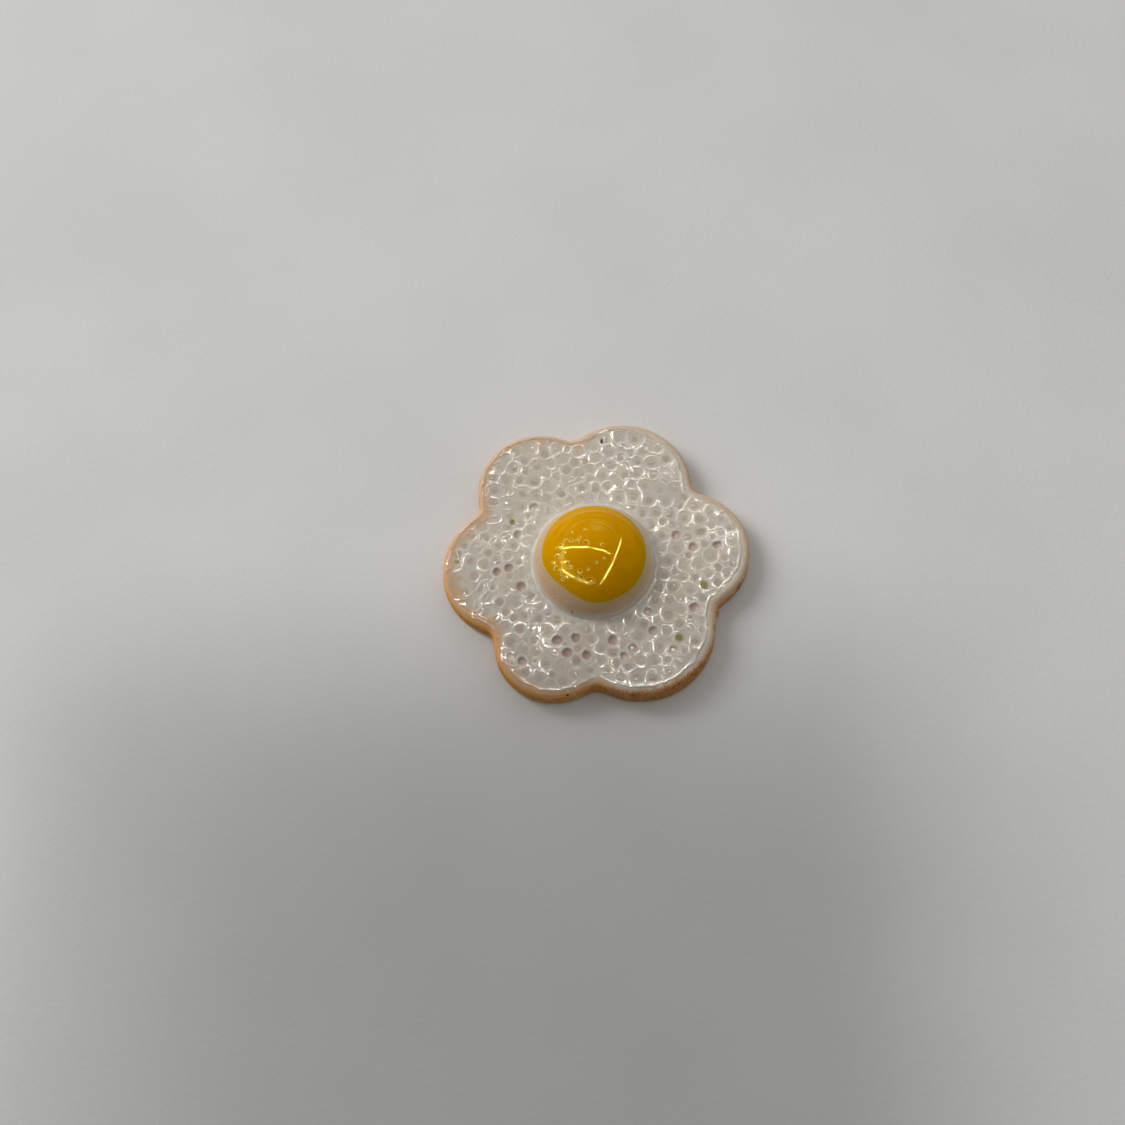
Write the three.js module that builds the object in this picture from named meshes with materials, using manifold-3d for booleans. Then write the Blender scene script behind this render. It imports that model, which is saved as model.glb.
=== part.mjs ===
// A small cast-resin charm in the shape of a fried egg. Millimetres, +Z up.
// The white is a flat slab with six round lobes and a rounded rim. Its top is crowded with small round pits,
// like the bubbles of a frying egg, and rises in the middle to a smooth dome. The yolk is the golden cap of
// that dome and sits in a shallow dish. The origin is on the flat underside, below the middle of the outline.

import * as THREE from "three";
import { mergeVertices } from "three/addons/utils/BufferGeometryUtils.js";
import Module from "manifold-3d";

// Outline: each lobe is a circle that points along heading (degrees) and reaches that far from the origin.
const LOBES = [
  { heading: 5.4, reach: 16.1, radius: 6.5 },
  { heading: 69.3, reach: 15.9, radius: 7.2 },
  { heading: 126.8, reach: 16.0, radius: 6.5 },
  { heading: 188.0, reach: 15.6, radius: 6.9 },
  { heading: 245.7, reach: 15.7, radius: 6.0 },
  { heading: 303.6, reach: 16.0, radius: 7.7 },
];
const NOTCH_SHARPNESS = 21; // a higher value leaves a sharper notch between two lobes

// Section of the slab's rim.
const THICKNESS = 2.4;
const RIM_ROUND = 0.65; // radius of the top edge
const RIM_DRAFT = 0.1; // how far the wall leans in between its foot and the top edge
const FOOT_ROUND = 0.35; // radius of the bottom edge

// Dome: half an ellipsoid on the slab's top, with a small fillet round its foot.
const DOME_CENTRE = new THREE.Vector2(0.05, -0.55);
const DOME_RADIUS = 6.15;
const DOME_HEIGHT = 4.0;
const DOME_FILLET = 0.35;
const DOME_ROOT = 0.6; // how deep the dome's solid starts inside the slab
const FILLET_SINK = 0.03; // the fillet ends this far below the slab's top, so that it crosses it

// Yolk: its edge is a circle that draws in on one side, and its dish is deepest in the middle.
const YOLK_RADIUS = 5.2;
const YOLK_RETREAT = 0.45;
const RETREAT_HEADING = 230; // degrees
const RETREAT_HALF_WIDTH = 45; // degrees
const DISH_HEIGHT = 1.2; // the dish's lowest point above the slab's top
const SEAM_GAP = 0.05;

// Pits. A deep pit shows a flat dark floor. Every other one is a shallow bowl, almost full of the clear coat.
const DEEP_PITS = [
  { x: -9.79, y: -1.7, radius: 0.5 },
  { x: -8.6, y: -1.27, radius: 0.5 },
  { x: -7.32, y: -3.32, radius: 0.56 },
  { x: -6.17, y: 5.5, radius: 0.5 },
  { x: -7.76, y: 2.36, radius: 0.5 },
  { x: -3.62, y: -8.91, radius: 0.56 },
  { x: -1.74, y: -8.7, radius: 0.52 },
  { x: -2.62, y: -10.25, radius: 0.56 },
  { x: -0.64, y: -10.46, radius: 0.52 },
  { x: 1.93, y: -8.91, radius: 0.56 },
  { x: 3.9, y: -9.75, radius: 0.5 },
  { x: 3.01, y: -10.6, radius: 0.44 },
  { x: 5.92, y: -7.97, radius: 0.5 },
  { x: 5.46, y: -5.94, radius: 0.5 },
  { x: 7.86, y: -9.94, radius: 0.5 },
  { x: 10.07, y: -5.56, radius: 0.56 },
  { x: 8.48, y: 2.36, radius: 0.56 },
  { x: 10.18, y: 1.03, radius: 0.5 },
  { x: 12.65, y: 1.25, radius: 0.5 },
  { x: -7.04, y: -11.13, radius: 0.5 },
];
const DEEP_PIT_DEPTH = 0.24;
const BOWL_COUNT = 240;
const BOWL_RADIUS = { least: 0.46, spread: 0.4 };
const BOWL_DEPTH = { least: 0.12, spread: 0.08 };
const LEAST_RADIUS = 0.34; // a bowl squeezed below this closes up
const FINE_FROTH = { place: new THREE.Vector2(-0.5, 10), reach: 4.5, shrink: 0.28 }; // smaller bowls here
const PIT_WEB = 0.1; // the thinnest wall between two pits
const BORDER = 1.0; // the pits keep this far inside the outline
const MOAT = 0.1; // and this far outside the dome's fillet
const SETTLE_ROUNDS = 120; // how often crowded pits push each other apart
const PIT_FLOOR_SHARE = 0.56; // a pit's floor radius as a share of its rim radius
const MOST_SQUASH = 0.18; // how much narrower a pit may be across than along
const PIT_SEED = 20817;

// Numbers of flat sides that stand for the curves.
const OUTLINE_SIDES = 84;
const OUTLINE_PROBES = 288;
const DOME_SIDES = 48;
const PIT_SIDES = 6;
const TOP_ROUND_STEPS = 4;
const FOOT_ROUND_STEPS = 2;
const FILLET_STEPS = 3;
const FLANK_STEPS = 4;
const DISH_STEPS = 3;
const CAP_STEPS = 7;
const NORMAL_STEP = 0.5; // degrees to either side, over which the outline's direction is measured
const MERGE_DISTANCE = 1e-4; // points closer than this are one point
const TOOL_RISE = 0.03; // how far a pit's cutting tool stands out above the slab

const FULL_TURN = 2 * Math.PI;
const DEGREE = Math.PI / 180;
const FIELD_START = DOME_RADIUS + DOME_FILLET + MOAT; // the pitted field's distance from the dome's centre

// The outline's distance from the origin along a direction: a soft maximum over the lobes' circles.
function outlineReach(angle) {
  let sum = 0;
  for (const lobe of LOBES) {
    const turn = angle - lobe.heading * DEGREE;
    const centre = lobe.reach - lobe.radius;
    const inside = lobe.radius ** 2 - (centre * Math.sin(turn)) ** 2;
    if (inside > 0 && Math.cos(turn) > 0) {
      sum += (centre * Math.cos(turn) + Math.sqrt(inside)) ** NOTCH_SHARPNESS;
    }
  }
  return sum ** (1 / NOTCH_SHARPNESS);
}

function outlinePoint(angle) {
  const reach = outlineReach(angle);
  return new THREE.Vector2(reach * Math.cos(angle), reach * Math.sin(angle));
}

// A point on the rim: the outline's point moved inward along its normal, at a height.
function rimPoint(angle, inset, height) {
  const step = NORMAL_STEP * DEGREE;
  const along = outlinePoint(angle + step).sub(outlinePoint(angle - step)).normalize();
  const point = outlinePoint(angle);
  return new THREE.Vector3(point.x - along.y * inset, point.y + along.x * inset, height);
}

// One closed ring of points, from a function that takes a direction.
function ring(sides, pointAt) {
  return Array.from({ length: sides }, (_, i) => pointAt((i / sides) * FULL_TURN));
}

// A closed geometry through rings of equal length, listed from the bottom centre to the top centre.
function lofted(bottom, rings, top) {
  const sides = rings[0].length;
  const points = [bottom, ...rings.flat(), top];
  const last = points.length - 1;
  const faces = [];
  for (let side = 0; side < sides; side++) {
    const next = (side + 1) % sides;
    faces.push(0, 1 + next, 1 + side);
    for (let level = 0; level + 1 < rings.length; level++) {
      const low = 1 + level * sides;
      const high = low + sides;
      faces.push(low + side, low + next, high + next);
      faces.push(low + side, high + next, high + side);
    }
    faces.push(last, last - sides + side, last - sides + next);
  }
  return new THREE.BufferGeometry().setFromPoints(points).setIndex(faces);
}

// Points of a quarter circle as [along, up] pairs, from level to upright or the other way round.
function quarterRound(radius, steps) {
  return Array.from({ length: steps + 1 }, (_, i) => {
    const turn = (i / steps) * 0.5 * Math.PI;
    return [radius * (1 - Math.sin(turn)), radius * (1 - Math.cos(turn))];
  });
}

// The slab: bottom edge, leaning wall and rounded top edge, as rings of the outline moved inward.
function slabGeometry() {
  const foot = quarterRound(FOOT_ROUND, FOOT_ROUND_STEPS);
  const shoulder = quarterRound(RIM_ROUND, TOP_ROUND_STEPS).reverse();
  const section = [
    ...foot,
    ...shoulder.map(([inset, drop]) => [RIM_DRAFT + inset, THICKNESS - drop]),
  ];
  const rings = section.map(([inset, height]) =>
    ring(OUTLINE_SIDES, (angle) => rimPoint(angle, inset, height)),
  );
  return lofted(new THREE.Vector3(0, 0, 0), rings, new THREE.Vector3(0, 0, THICKNESS));
}

function domePoint(angle, radius, rise) {
  return new THREE.Vector3(
    DOME_CENTRE.x + radius * Math.cos(angle),
    DOME_CENTRE.y + radius * Math.sin(angle),
    THICKNESS + rise,
  );
}

function domeRise(radius) {
  return DOME_HEIGHT * Math.sqrt(1 - (radius / DOME_RADIUS) ** 2);
}

function yolkReach(angle) {
  const turn = Math.abs(angle / DEGREE - RETREAT_HEADING) / RETREAT_HALF_WIDTH;
  const share = turn < 1 ? Math.cos(turn * 0.5 * Math.PI) ** 2 : 0;
  return YOLK_RADIUS - YOLK_RETREAT * share;
}

// Rings of the dish that the yolk sits in, from the yolk's edge towards the middle.
function dishRings(lift) {
  return Array.from({ length: DISH_STEPS }, (_, i) => {
    const share = 1 - i / DISH_STEPS;
    return ring(DOME_SIDES, (angle) => {
      const edge = yolkReach(angle);
      const rise = DISH_HEIGHT + (domeRise(edge) - DISH_HEIGHT) * share ** 2;
      return domePoint(angle, edge * share, rise + lift);
    });
  });
}

// The white's dome: a root inside the slab, the fillet, the flank up to the yolk's edge and the dish.
function domeGeometry() {
  const foot = DOME_RADIUS + DOME_FILLET;
  const root = ring(DOME_SIDES, (angle) => domePoint(angle, foot, -DOME_ROOT));
  const fillet = Array.from({ length: FILLET_STEPS + 1 }, (_, i) => {
    const turn = (i / FILLET_STEPS) * 0.5 * Math.PI;
    const radius = foot - DOME_FILLET * Math.sin(turn);
    const rise = DOME_FILLET * (1 - Math.cos(turn)) - FILLET_SINK;
    return ring(DOME_SIDES, (angle) => domePoint(angle, radius, rise));
  });
  const flank = Array.from({ length: FLANK_STEPS - 1 }, (_, i) => {
    const share = ((i + 1) / FLANK_STEPS) ** 2;
    return ring(DOME_SIDES, (angle) => {
      const radius = DOME_RADIUS + (yolkReach(angle) - DOME_RADIUS) * share;
      return domePoint(angle, radius, domeRise(radius));
    });
  });
  const rings = [root, ...fillet, ...flank, ...dishRings(0)];
  return lofted(domePoint(0, 0, -DOME_ROOT), rings, domePoint(0, 0, DISH_HEIGHT));
}

// The yolk: the dish's form below, the rest of the dome's form above, lifted by the seam.
function yolkGeometry() {
  const under = dishRings(SEAM_GAP).reverse();
  const over = Array.from({ length: CAP_STEPS - 1 }, (_, i) => {
    const share = Math.cos(((i + 1) / CAP_STEPS) * 0.5 * Math.PI);
    return ring(DOME_SIDES, (angle) => {
      const radius = yolkReach(angle) * share;
      return domePoint(angle, radius, domeRise(radius) + SEAM_GAP);
    });
  });
  const bottom = domePoint(0, 0, DISH_HEIGHT + SEAM_GAP);
  return lofted(bottom, [...under, ...over], domePoint(0, 0, DOME_HEIGHT + SEAM_GAP));
}

// A repeatable stream of numbers from 0 to 1.
function seededDraws(seed) {
  const multiplier = 48271;
  const modulus = 2 ** 31 - 1;
  let state = seed;
  return () => {
    state = (state * multiplier) % modulus;
    return state / modulus;
  };
}

// How far a place is inside the outline, and the outline's nearest point.
function nearestOutline(probes, place) {
  let nearest = probes[0];
  for (const probe of probes) {
    if (probe.distanceToSquared(place) < nearest.distanceToSquared(place)) {
      nearest = probe;
    }
  }
  const side = place.length() < outlineReach(place.angle()) ? 1 : -1;
  return { nearest, depth: side * nearest.distanceTo(place) };
}

// Moves a pit back between the dome's moat and the border inside the outline.
function keepInField(pit, probes) {
  const fromDome = pit.place.clone().sub(DOME_CENTRE);
  const inMoat = FIELD_START + pit.radius - fromDome.length();
  if (inMoat > 0) {
    pit.place.addScaledVector(fromDome.normalize(), inMoat);
  }
  const { nearest, depth } = nearestOutline(probes, pit.place);
  const inBorder = BORDER + pit.radius - depth;
  if (inBorder > 0) {
    const inward = pit.place.clone().sub(nearest).normalize();
    pit.place.addScaledVector(inward, depth > 0 ? inBorder : -inBorder);
  }
}

// One round of settling: pits that crowd each other move apart, and the deep ones stay where they are.
function settle(pits, probes) {
  for (const pit of pits) {
    if (pit.deep) {
      continue;
    }
    const push = new THREE.Vector2();
    for (const other of pits) {
      const apart = pit.place.distanceTo(other.place);
      const crowding = pit.radius + other.radius + PIT_WEB - apart;
      if (other !== pit && crowding > 0) {
        const share = (other.deep ? 1 : 0.5) * crowding / apart;
        push.addScaledVector(pit.place, share).addScaledVector(other.place, -share);
      }
    }
    pit.place.add(push);
    keepInField(pit, probes);
  }
}

// Shrinks a pit until a whole web is left round it.
function trimToRoom(pit, pits, probes) {
  let room = Math.min(
    nearestOutline(probes, pit.place).depth - BORDER,
    pit.place.distanceTo(DOME_CENTRE) - FIELD_START,
  );
  for (const other of pits) {
    if (other !== pit) {
      room = Math.min(room, pit.place.distanceTo(other.place) - other.radius - PIT_WEB);
    }
  }
  pit.radius = Math.min(pit.radius, room);
}

// Lays out the pits: the deep ones where they are, and the bowls strewn between them and then settled.
function layOutPits() {
  const draw = seededDraws(PIT_SEED);
  const probes = ring(OUTLINE_PROBES, outlinePoint);
  const widest = Math.max(...LOBES.map((lobe) => lobe.reach));
  let pits = DEEP_PITS.map(({ x, y, radius }) => ({
    place: new THREE.Vector2(x, y),
    radius,
    deep: true,
    depth: DEEP_PIT_DEPTH,
    turn: 0,
    squash: 0,
  }));
  while (pits.length < DEEP_PITS.length + BOWL_COUNT) {
    const place = new THREE.Vector2(widest * (2 * draw() - 1), widest * (2 * draw() - 1));
    const froth = Math.max(0, 1 - place.distanceTo(FINE_FROTH.place) / FINE_FROTH.reach);
    const radius = (BOWL_RADIUS.least + BOWL_RADIUS.spread * draw()) * (1 - FINE_FROTH.shrink * froth);
    const depth = BOWL_DEPTH.least + BOWL_DEPTH.spread * draw();
    const turn = FULL_TURN * draw();
    const squash = MOST_SQUASH * draw();
    const inside = place.length() < outlineReach(place.angle()) - BORDER;
    if (inside && place.distanceTo(DOME_CENTRE) > FIELD_START) {
      pits.push({ place, radius, deep: false, depth, turn, squash });
    }
  }
  for (let round = 0; round < SETTLE_ROUNDS; round++) {
    settle(pits, probes);
  }
  for (const pit of pits) {
    if (!pit.deep) {
      trimToRoom(pit, pits, probes);
    }
  }
  return pits.filter((pit) => pit.radius >= LEAST_RADIUS);
}

// The tool that cuts one pit: a flat floor and a slanting wall that runs on above the slab's top.
function pitToolGeometry(pit) {
  const floor = pit.radius * PIT_FLOOR_SHARE;
  const mouth = pit.radius + ((pit.radius - floor) / pit.depth) * TOOL_RISE;
  const profile = [
    new THREE.Vector2(0, -pit.depth),
    new THREE.Vector2(floor, -pit.depth),
    new THREE.Vector2(mouth, TOOL_RISE),
    new THREE.Vector2(0, TOOL_RISE),
  ];
  const tool = new THREE.LatheGeometry(profile, PIT_SIDES);
  tool.rotateX(0.5 * Math.PI);
  tool.scale(1, 1 - pit.squash, 1);
  tool.rotateZ(pit.turn);
  tool.translate(pit.place.x, pit.place.y, THICKNESS);
  return tool;
}

const wasm = await Module();
wasm.setup();

function solid(geometry) {
  geometry.deleteAttribute("normal");
  geometry.deleteAttribute("uv");
  const merged = mergeVertices(geometry, MERGE_DISTANCE);
  const vertProperties = merged.attributes.position.array;
  const triVerts = new Uint32Array(merged.index.array);
  return new wasm.Manifold(new wasm.Mesh({ numProp: 3, vertProperties, triVerts }));
}

function geometryOf(body) {
  const mesh = body.getMesh();
  const geometry = new THREE.BufferGeometry();
  geometry.setAttribute("position", new THREE.BufferAttribute(mesh.vertProperties, 3));
  geometry.setIndex(new THREE.BufferAttribute(mesh.triVerts, 1));
  return geometry;
}

function namedMesh(name, geometry, material) {
  geometry.computeVertexNormals();
  const mesh = new THREE.Mesh(geometry, material);
  mesh.name = name;
  return mesh;
}

const whiteResin = new THREE.MeshStandardMaterial({ color: 0xded6c8, roughness: 0.25, metalness: 0 });
const yolkResin = new THREE.MeshStandardMaterial({ color: 0xe0a009, roughness: 0.15, metalness: 0 });

let white = solid(slabGeometry()).add(solid(domeGeometry()));
for (const pit of layOutPits()) {
  white = white.subtract(solid(pitToolGeometry(pit)));
}

const egg = new THREE.Group();
egg.add(namedMesh("egg_white", geometryOf(white), whiteResin));
egg.add(namedMesh("yolk", yolkGeometry(), yolkResin));

export default egg;
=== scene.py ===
"""Looks of a small cast resin charm in the shape of a fried egg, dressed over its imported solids.

Sizes and places are in millimetres. They turn into metres where a mesh, a light or the camera is made.
"""

import logging
import math
from dataclasses import dataclass, field, fields
from enum import Enum
from functools import cache

import bpy
import numpy as np
from mathutils import Matrix, Vector, noise
from mathutils.geometry import delaunay_2d_cdt


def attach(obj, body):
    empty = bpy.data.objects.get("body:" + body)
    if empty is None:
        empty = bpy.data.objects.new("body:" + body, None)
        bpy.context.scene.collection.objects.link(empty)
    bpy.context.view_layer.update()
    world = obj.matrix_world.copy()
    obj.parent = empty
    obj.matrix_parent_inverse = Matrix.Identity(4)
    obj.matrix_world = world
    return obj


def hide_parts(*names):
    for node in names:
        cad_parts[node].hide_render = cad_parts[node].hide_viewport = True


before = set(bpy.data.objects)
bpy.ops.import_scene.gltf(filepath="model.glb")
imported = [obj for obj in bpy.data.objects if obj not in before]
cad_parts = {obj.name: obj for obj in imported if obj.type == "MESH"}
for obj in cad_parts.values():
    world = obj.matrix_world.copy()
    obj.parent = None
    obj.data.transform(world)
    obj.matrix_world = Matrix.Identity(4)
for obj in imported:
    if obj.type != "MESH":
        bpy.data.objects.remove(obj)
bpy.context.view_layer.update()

METRES = 0.001  # metres in a millimetre
FULL_TURN = 2 * math.pi
BODY = "root"

Colour = tuple[float, float, float]
Place = tuple[float, float]
Span = tuple[float, float]  # a least and a further amount, or where a smooth step starts and ends
Point = tuple[float, float, float]

log = logging.getLogger("fried_egg")


# ---------------------------------------------------------------- shader helpers


class Signal:
    """One output socket of a node tree. Python's operators on it add Math nodes."""

    def __init__(self, graph: "Graph", socket: bpy.types.NodeSocket) -> None:
        """Wraps a socket of a graph."""
        self.graph = graph
        self.socket = socket

    def __add__(self, other: "Operand") -> "Signal":
        """self + other."""
        return self.graph.math("ADD", self, other)

    def __radd__(self, other: "Operand") -> "Signal":
        """other + self."""
        return self.graph.math("ADD", other, self)

    def __sub__(self, other: "Operand") -> "Signal":
        """self - other."""
        return self.graph.math("SUBTRACT", self, other)

    def __rsub__(self, other: "Operand") -> "Signal":
        """other - self."""
        return self.graph.math("SUBTRACT", other, self)

    def __mul__(self, other: "Operand") -> "Signal":
        """self * other."""
        return self.graph.math("MULTIPLY", self, other)

    def __rmul__(self, other: "Operand") -> "Signal":
        """other * self."""
        return self.graph.math("MULTIPLY", other, self)

    def __pow__(self, other: "Operand") -> "Signal":
        """self ** other."""
        return self.graph.math("POWER", self, other)


Operand = Signal | float
Link = Signal | float | tuple[float, ...]


class Graph:
    """The node tree of one material, with a Principled shader at its end."""

    def __init__(self, name: str) -> None:
        """Makes an empty material of that name with its shader and output.

        Args:
            name: The material's name.
        """
        self.material = bpy.data.materials.new(name)
        self.material.use_nodes = True
        self.tree = self.material.node_tree
        self.tree.nodes.clear()
        self.shader = self.tree.nodes.new("ShaderNodeBsdfPrincipled")
        output = self.tree.nodes.new("ShaderNodeOutputMaterial")
        self.tree.links.new(self.shader.outputs["BSDF"], output.inputs["Surface"])

    def feed(self, socket: bpy.types.NodeSocket, value: Link) -> None:
        """Links a signal to an input socket, or sets the socket's own value.

        Args:
            socket: The input socket.
            value: A signal, a number, or the numbers of a colour or vector.
        """
        if isinstance(value, Signal):
            self.tree.links.new(value.socket, socket)
        elif isinstance(value, tuple) and socket.type == "RGBA":
            socket.default_value = (*value, 1.0)
        else:
            socket.default_value = value

    def add(
        self,
        kind: str,
        settings: dict[str, object],
        inputs: dict[str | int, Link],
        output: str | int = 0,
    ) -> Signal:
        """Adds a node.

        Args:
            kind: The node's type.
            settings: The node's own settings, which are set before its sockets.
            inputs: Values or signals by the input's name or number.
            output: The name or number of the output that is wanted.

        Returns:
            The wanted output.
        """
        node = self.tree.nodes.new(kind)
        for name, value in settings.items():
            setattr(node, name, value)
        for key, value in inputs.items():
            self.feed(node.inputs[key], value)
        return Signal(self, node.outputs[output])

    def math(self, operation: str, first: Operand, second: Operand) -> Signal:
        """One Math node on two values."""
        return self.add("ShaderNodeMath", {"operation": operation}, {0: first, 1: second})

    def vector(self, operation: str, first: Link, second: Link) -> Signal:
        """One Vector Math node on two vectors."""
        return self.add("ShaderNodeVectorMath", {"operation": operation}, {0: first, 1: second})

    def ramp(self, value: Operand, low: float, high: float) -> Signal:
        """A smooth step from 0 at low to 1 at high.

        Args:
            value: What is measured.
            low: Where the step starts.
            high: Where it ends, which may be below low.

        Returns:
            The step, kept from 0 to 1.
        """
        if low > high:
            return 1.0 - self.ramp(value, high, low)
        settings = {"interpolation_type": "SMOOTHSTEP"}
        inputs = {"Value": value, "From Min": low, "From Max": high}
        return self.add("ShaderNodeMapRange", settings, inputs)

    def blend(self, factor: Operand, first: Link, second: Link) -> Signal:
        """A colour between two others: the first where factor is 0, and the second where it is 1."""
        settings = {"data_type": "RGBA", "clamp_factor": True}
        return self.add("ShaderNodeMix", settings, {0: factor, 6: first, 7: second}, 2)

    def stored(self, name: str) -> Signal:
        """A number that is stored at each point of the mesh under a name."""
        return self.add("ShaderNodeAttribute", {"attribute_name": name}, {}, "Fac")

    def place(self) -> Signal:
        """The place on the object, in millimetres."""
        metres = self.add("ShaderNodeTexCoord", {}, {}, "Object")
        scaled = {0: metres, "Scale": 1 / METRES}
        return self.add("ShaderNodeVectorMath", {"operation": "SCALE"}, scaled)

    def mottle(self, place: Signal, mottle: "Mottle") -> Signal:
        """Noise from 0 to 1.

        Args:
            place: The place, in millimetres.
            mottle: The noise's grain.

        Returns:
            The noise.
        """
        moved = self.vector("ADD", place, (mottle.shift,) * 3)
        inputs = {"Vector": moved, "Scale": 1 / mottle.grain, "Detail": mottle.detail}
        return self.add("ShaderNodeTexNoise", {}, inputs)

    def patches(self, noise: Signal, mottle: "Mottle") -> Signal:
        """The patches of a noise, from 0 between them to 1 on them."""
        return self.ramp(noise, mottle.low, mottle.high)

    def bump(self, height: Signal, depth: float) -> Signal:
        """A normal for a surface that stands depth millimetres higher where height is 1."""
        inputs = {"Strength": 1.0, "Distance": depth * METRES, "Height": height}
        return self.add("ShaderNodeBump", {}, inputs)

    def finish(self, sockets: dict[str, Link]) -> bpy.types.Material:
        """Feeds the shader and gives the material.

        Args:
            sockets: Values or signals for the shader's sockets.

        Returns:
            The finished material.
        """
        for name, value in sockets.items():
            self.feed(self.shader.inputs[name], value)
        return self.material


@dataclass(frozen=True)
class Mottle:
    """Noise in a finish.

    Attributes:
        grain: The size of one patch, in millimetres.
        detail: How many finer layers lie on it.
        shift: Moves the pattern, so that two of the same grain differ.
        low: Where its patches start.
        high: Where they are full.
    """

    grain: float
    detail: float = 3.0
    shift: float = 0.0
    low: float = 0.0
    high: float = 1.0


# ---------------------------------------------------------------- mesh helpers


class MeshDraft:
    """Collects points and faces of one closed piece, in millimetres."""

    def __init__(self) -> None:
        """Starts with nothing."""
        self.blocks: list[np.ndarray] = []
        self.count = 0
        self.faces: list[tuple[int, ...]] = []

    def add(self, points: np.ndarray) -> np.ndarray:
        """Adds points.

        Args:
            points: One row of x, y and z for each.

        Returns:
            Their numbers in the mesh.
        """
        points = np.atleast_2d(np.asarray(points, float))
        self.blocks.append(points)
        self.count += len(points)
        return np.arange(self.count - len(points), self.count)

    def bridge(self, low: np.ndarray, high: np.ndarray) -> None:
        """Joins two rings of equal length by quads, which face out when high is above low."""
        corners = (low, np.roll(low, -1), np.roll(high, -1), high)
        self.faces += zip(*(corner.tolist() for corner in corners))

    def stack(self, rings: list[np.ndarray]) -> list[np.ndarray]:
        """Adds rings from low to high and joins each to the next.

        Args:
            rings: The rings' points, all of the same length.

        Returns:
            The numbers of each ring's points.
        """
        numbers = [self.add(ring) for ring in rings]
        for low, high in zip(numbers, numbers[1:]):
            self.bridge(low, high)
        return numbers

    def cap(self, ring: np.ndarray, tip: np.ndarray, upward: bool) -> None:
        """Closes a ring with a fan of triangles to one point.

        Args:
            ring: The ring's point numbers.
            tip: The point in the middle.
            upward: Whether the fan faces up.
        """
        middle = int(self.add(tip)[0])
        for here, after in zip(ring.tolist(), np.roll(ring, -1).tolist()):
            self.faces.append((here, after, middle) if upward else (after, here, middle))

    def points(self) -> np.ndarray:
        """All points so far, one row each."""
        return np.concatenate(self.blocks)

    def make(self, name: str, values: dict[str, np.ndarray]) -> bpy.types.Object:
        """Makes the object.

        Args:
            name: Its name.
            values: Numbers to store at each point, by name.

        Returns:
            A smooth-shaded mesh object in metres, linked to the scene.
        """
        mesh = bpy.data.meshes.new(name)
        mesh.from_pydata((self.points() * METRES).tolist(), [], self.faces)
        mesh.polygons.foreach_set("use_smooth", np.ones(len(mesh.polygons), bool))
        for key, numbers in values.items():
            layer = mesh.attributes.new(key, "FLOAT", "POINT")
            layer.data.foreach_set("value", np.asarray(numbers, np.float32))
        mesh.update()
        return in_scene(name, mesh)


def in_scene(name: str, data: bpy.types.ID) -> bpy.types.Object:
    """An object with that name and data, linked to the scene.

    Args:
        name: Its name.
        data: Its mesh, light or camera.

    Returns:
        The object.
    """
    made = bpy.data.objects.new(name, data)
    bpy.context.scene.collection.objects.link(made)
    return made


def sheet(name: str, low: Place, high: Place, height: float) -> bpy.types.Object:
    """A flat rectangle that faces up.

    Args:
        name: Its name.
        low: Its corner with the least x and y.
        high: Its corner with the greatest x and y.
        height: Its height above the table.

    Returns:
        The object.
    """
    draft = MeshDraft()
    corners = [low, (high[0], low[1]), high, (low[0], high[1])]
    numbers = draft.add(np.array([(*corner, height) for corner in corners]))
    draft.faces.append(tuple(numbers.tolist()))
    return draft.make(name, {})


def circle(sides: int) -> np.ndarray:
    """Directions of a ring's points, in radians."""
    return np.arange(sides) * (FULL_TURN / sides)


def bearing(places: np.ndarray) -> np.ndarray:
    """Direction of each place from the origin, in radians."""
    return np.arctan2(places[:, 1], places[:, 0])


def smooth(value: np.ndarray, low: float, high: float) -> np.ndarray:
    """A smooth step of an array, from 0 at low to 1 at high."""
    share = np.clip((value - low) / (high - low), 0.0, 1.0)
    return share * share * (3.0 - 2.0 * share)


@dataclass(frozen=True)
class Swell:
    """Smooth noise over places, roughly from -height to height.

    Attributes:
        wavelength: The size of one swell.
        layer: Picks another pattern.
        height: How much it amounts to.
    """

    wavelength: float
    layer: float
    height: float = 1.0

    def over(self, places: np.ndarray) -> np.ndarray:
        """One number for each place, from its x and y."""
        scaled = (places[:, :2] / self.wavelength).tolist()
        return self.height * np.array([noise.noise(Vector((x, y, self.layer))) for x, y in scaled])


def angle_gap(angles: np.ndarray, heading: float) -> np.ndarray:
    """How far directions are from a heading, in degrees, from 0 to 180."""
    turn = np.degrees(angles) - heading
    return np.abs((turn + 180.0) % 360.0 - 180.0)


def seat(piece: bpy.types.Object, node: str) -> None:
    """Lets a piece ride on the body and hides the solid that it stands for.

    Args:
        piece: The piece.
        node: The solid that it replaces.
    """
    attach(piece, BODY)
    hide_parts(node)
    triangles = sum(len(face.vertices) - 2 for face in piece.data.polygons)
    log.info("%s: %d points, %d triangles", piece.name, len(piece.data.vertices), triangles)


class Draws:
    """A repeatable stream of numbers from 0 to 1."""

    MULTIPLIER = 48271
    MODULUS = 2**31 - 1

    def __init__(self, seed: int) -> None:
        """Starts the stream at a seed."""
        self.state = seed

    def next(self) -> float:
        """The next number."""
        self.state = (self.state * self.MULTIPLIER) % self.MODULUS
        return self.state / self.MODULUS

    def many(self, count: int) -> np.ndarray:
        """The next numbers."""
        return np.array([self.next() for _ in range(count)])


# ---------------------------------------------------------------- form of the egg


@dataclass(frozen=True)
class Lobe:
    """One round lobe: a circle that points along heading (degrees) and reaches that far out."""

    heading: float
    reach: float
    radius: float


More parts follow.
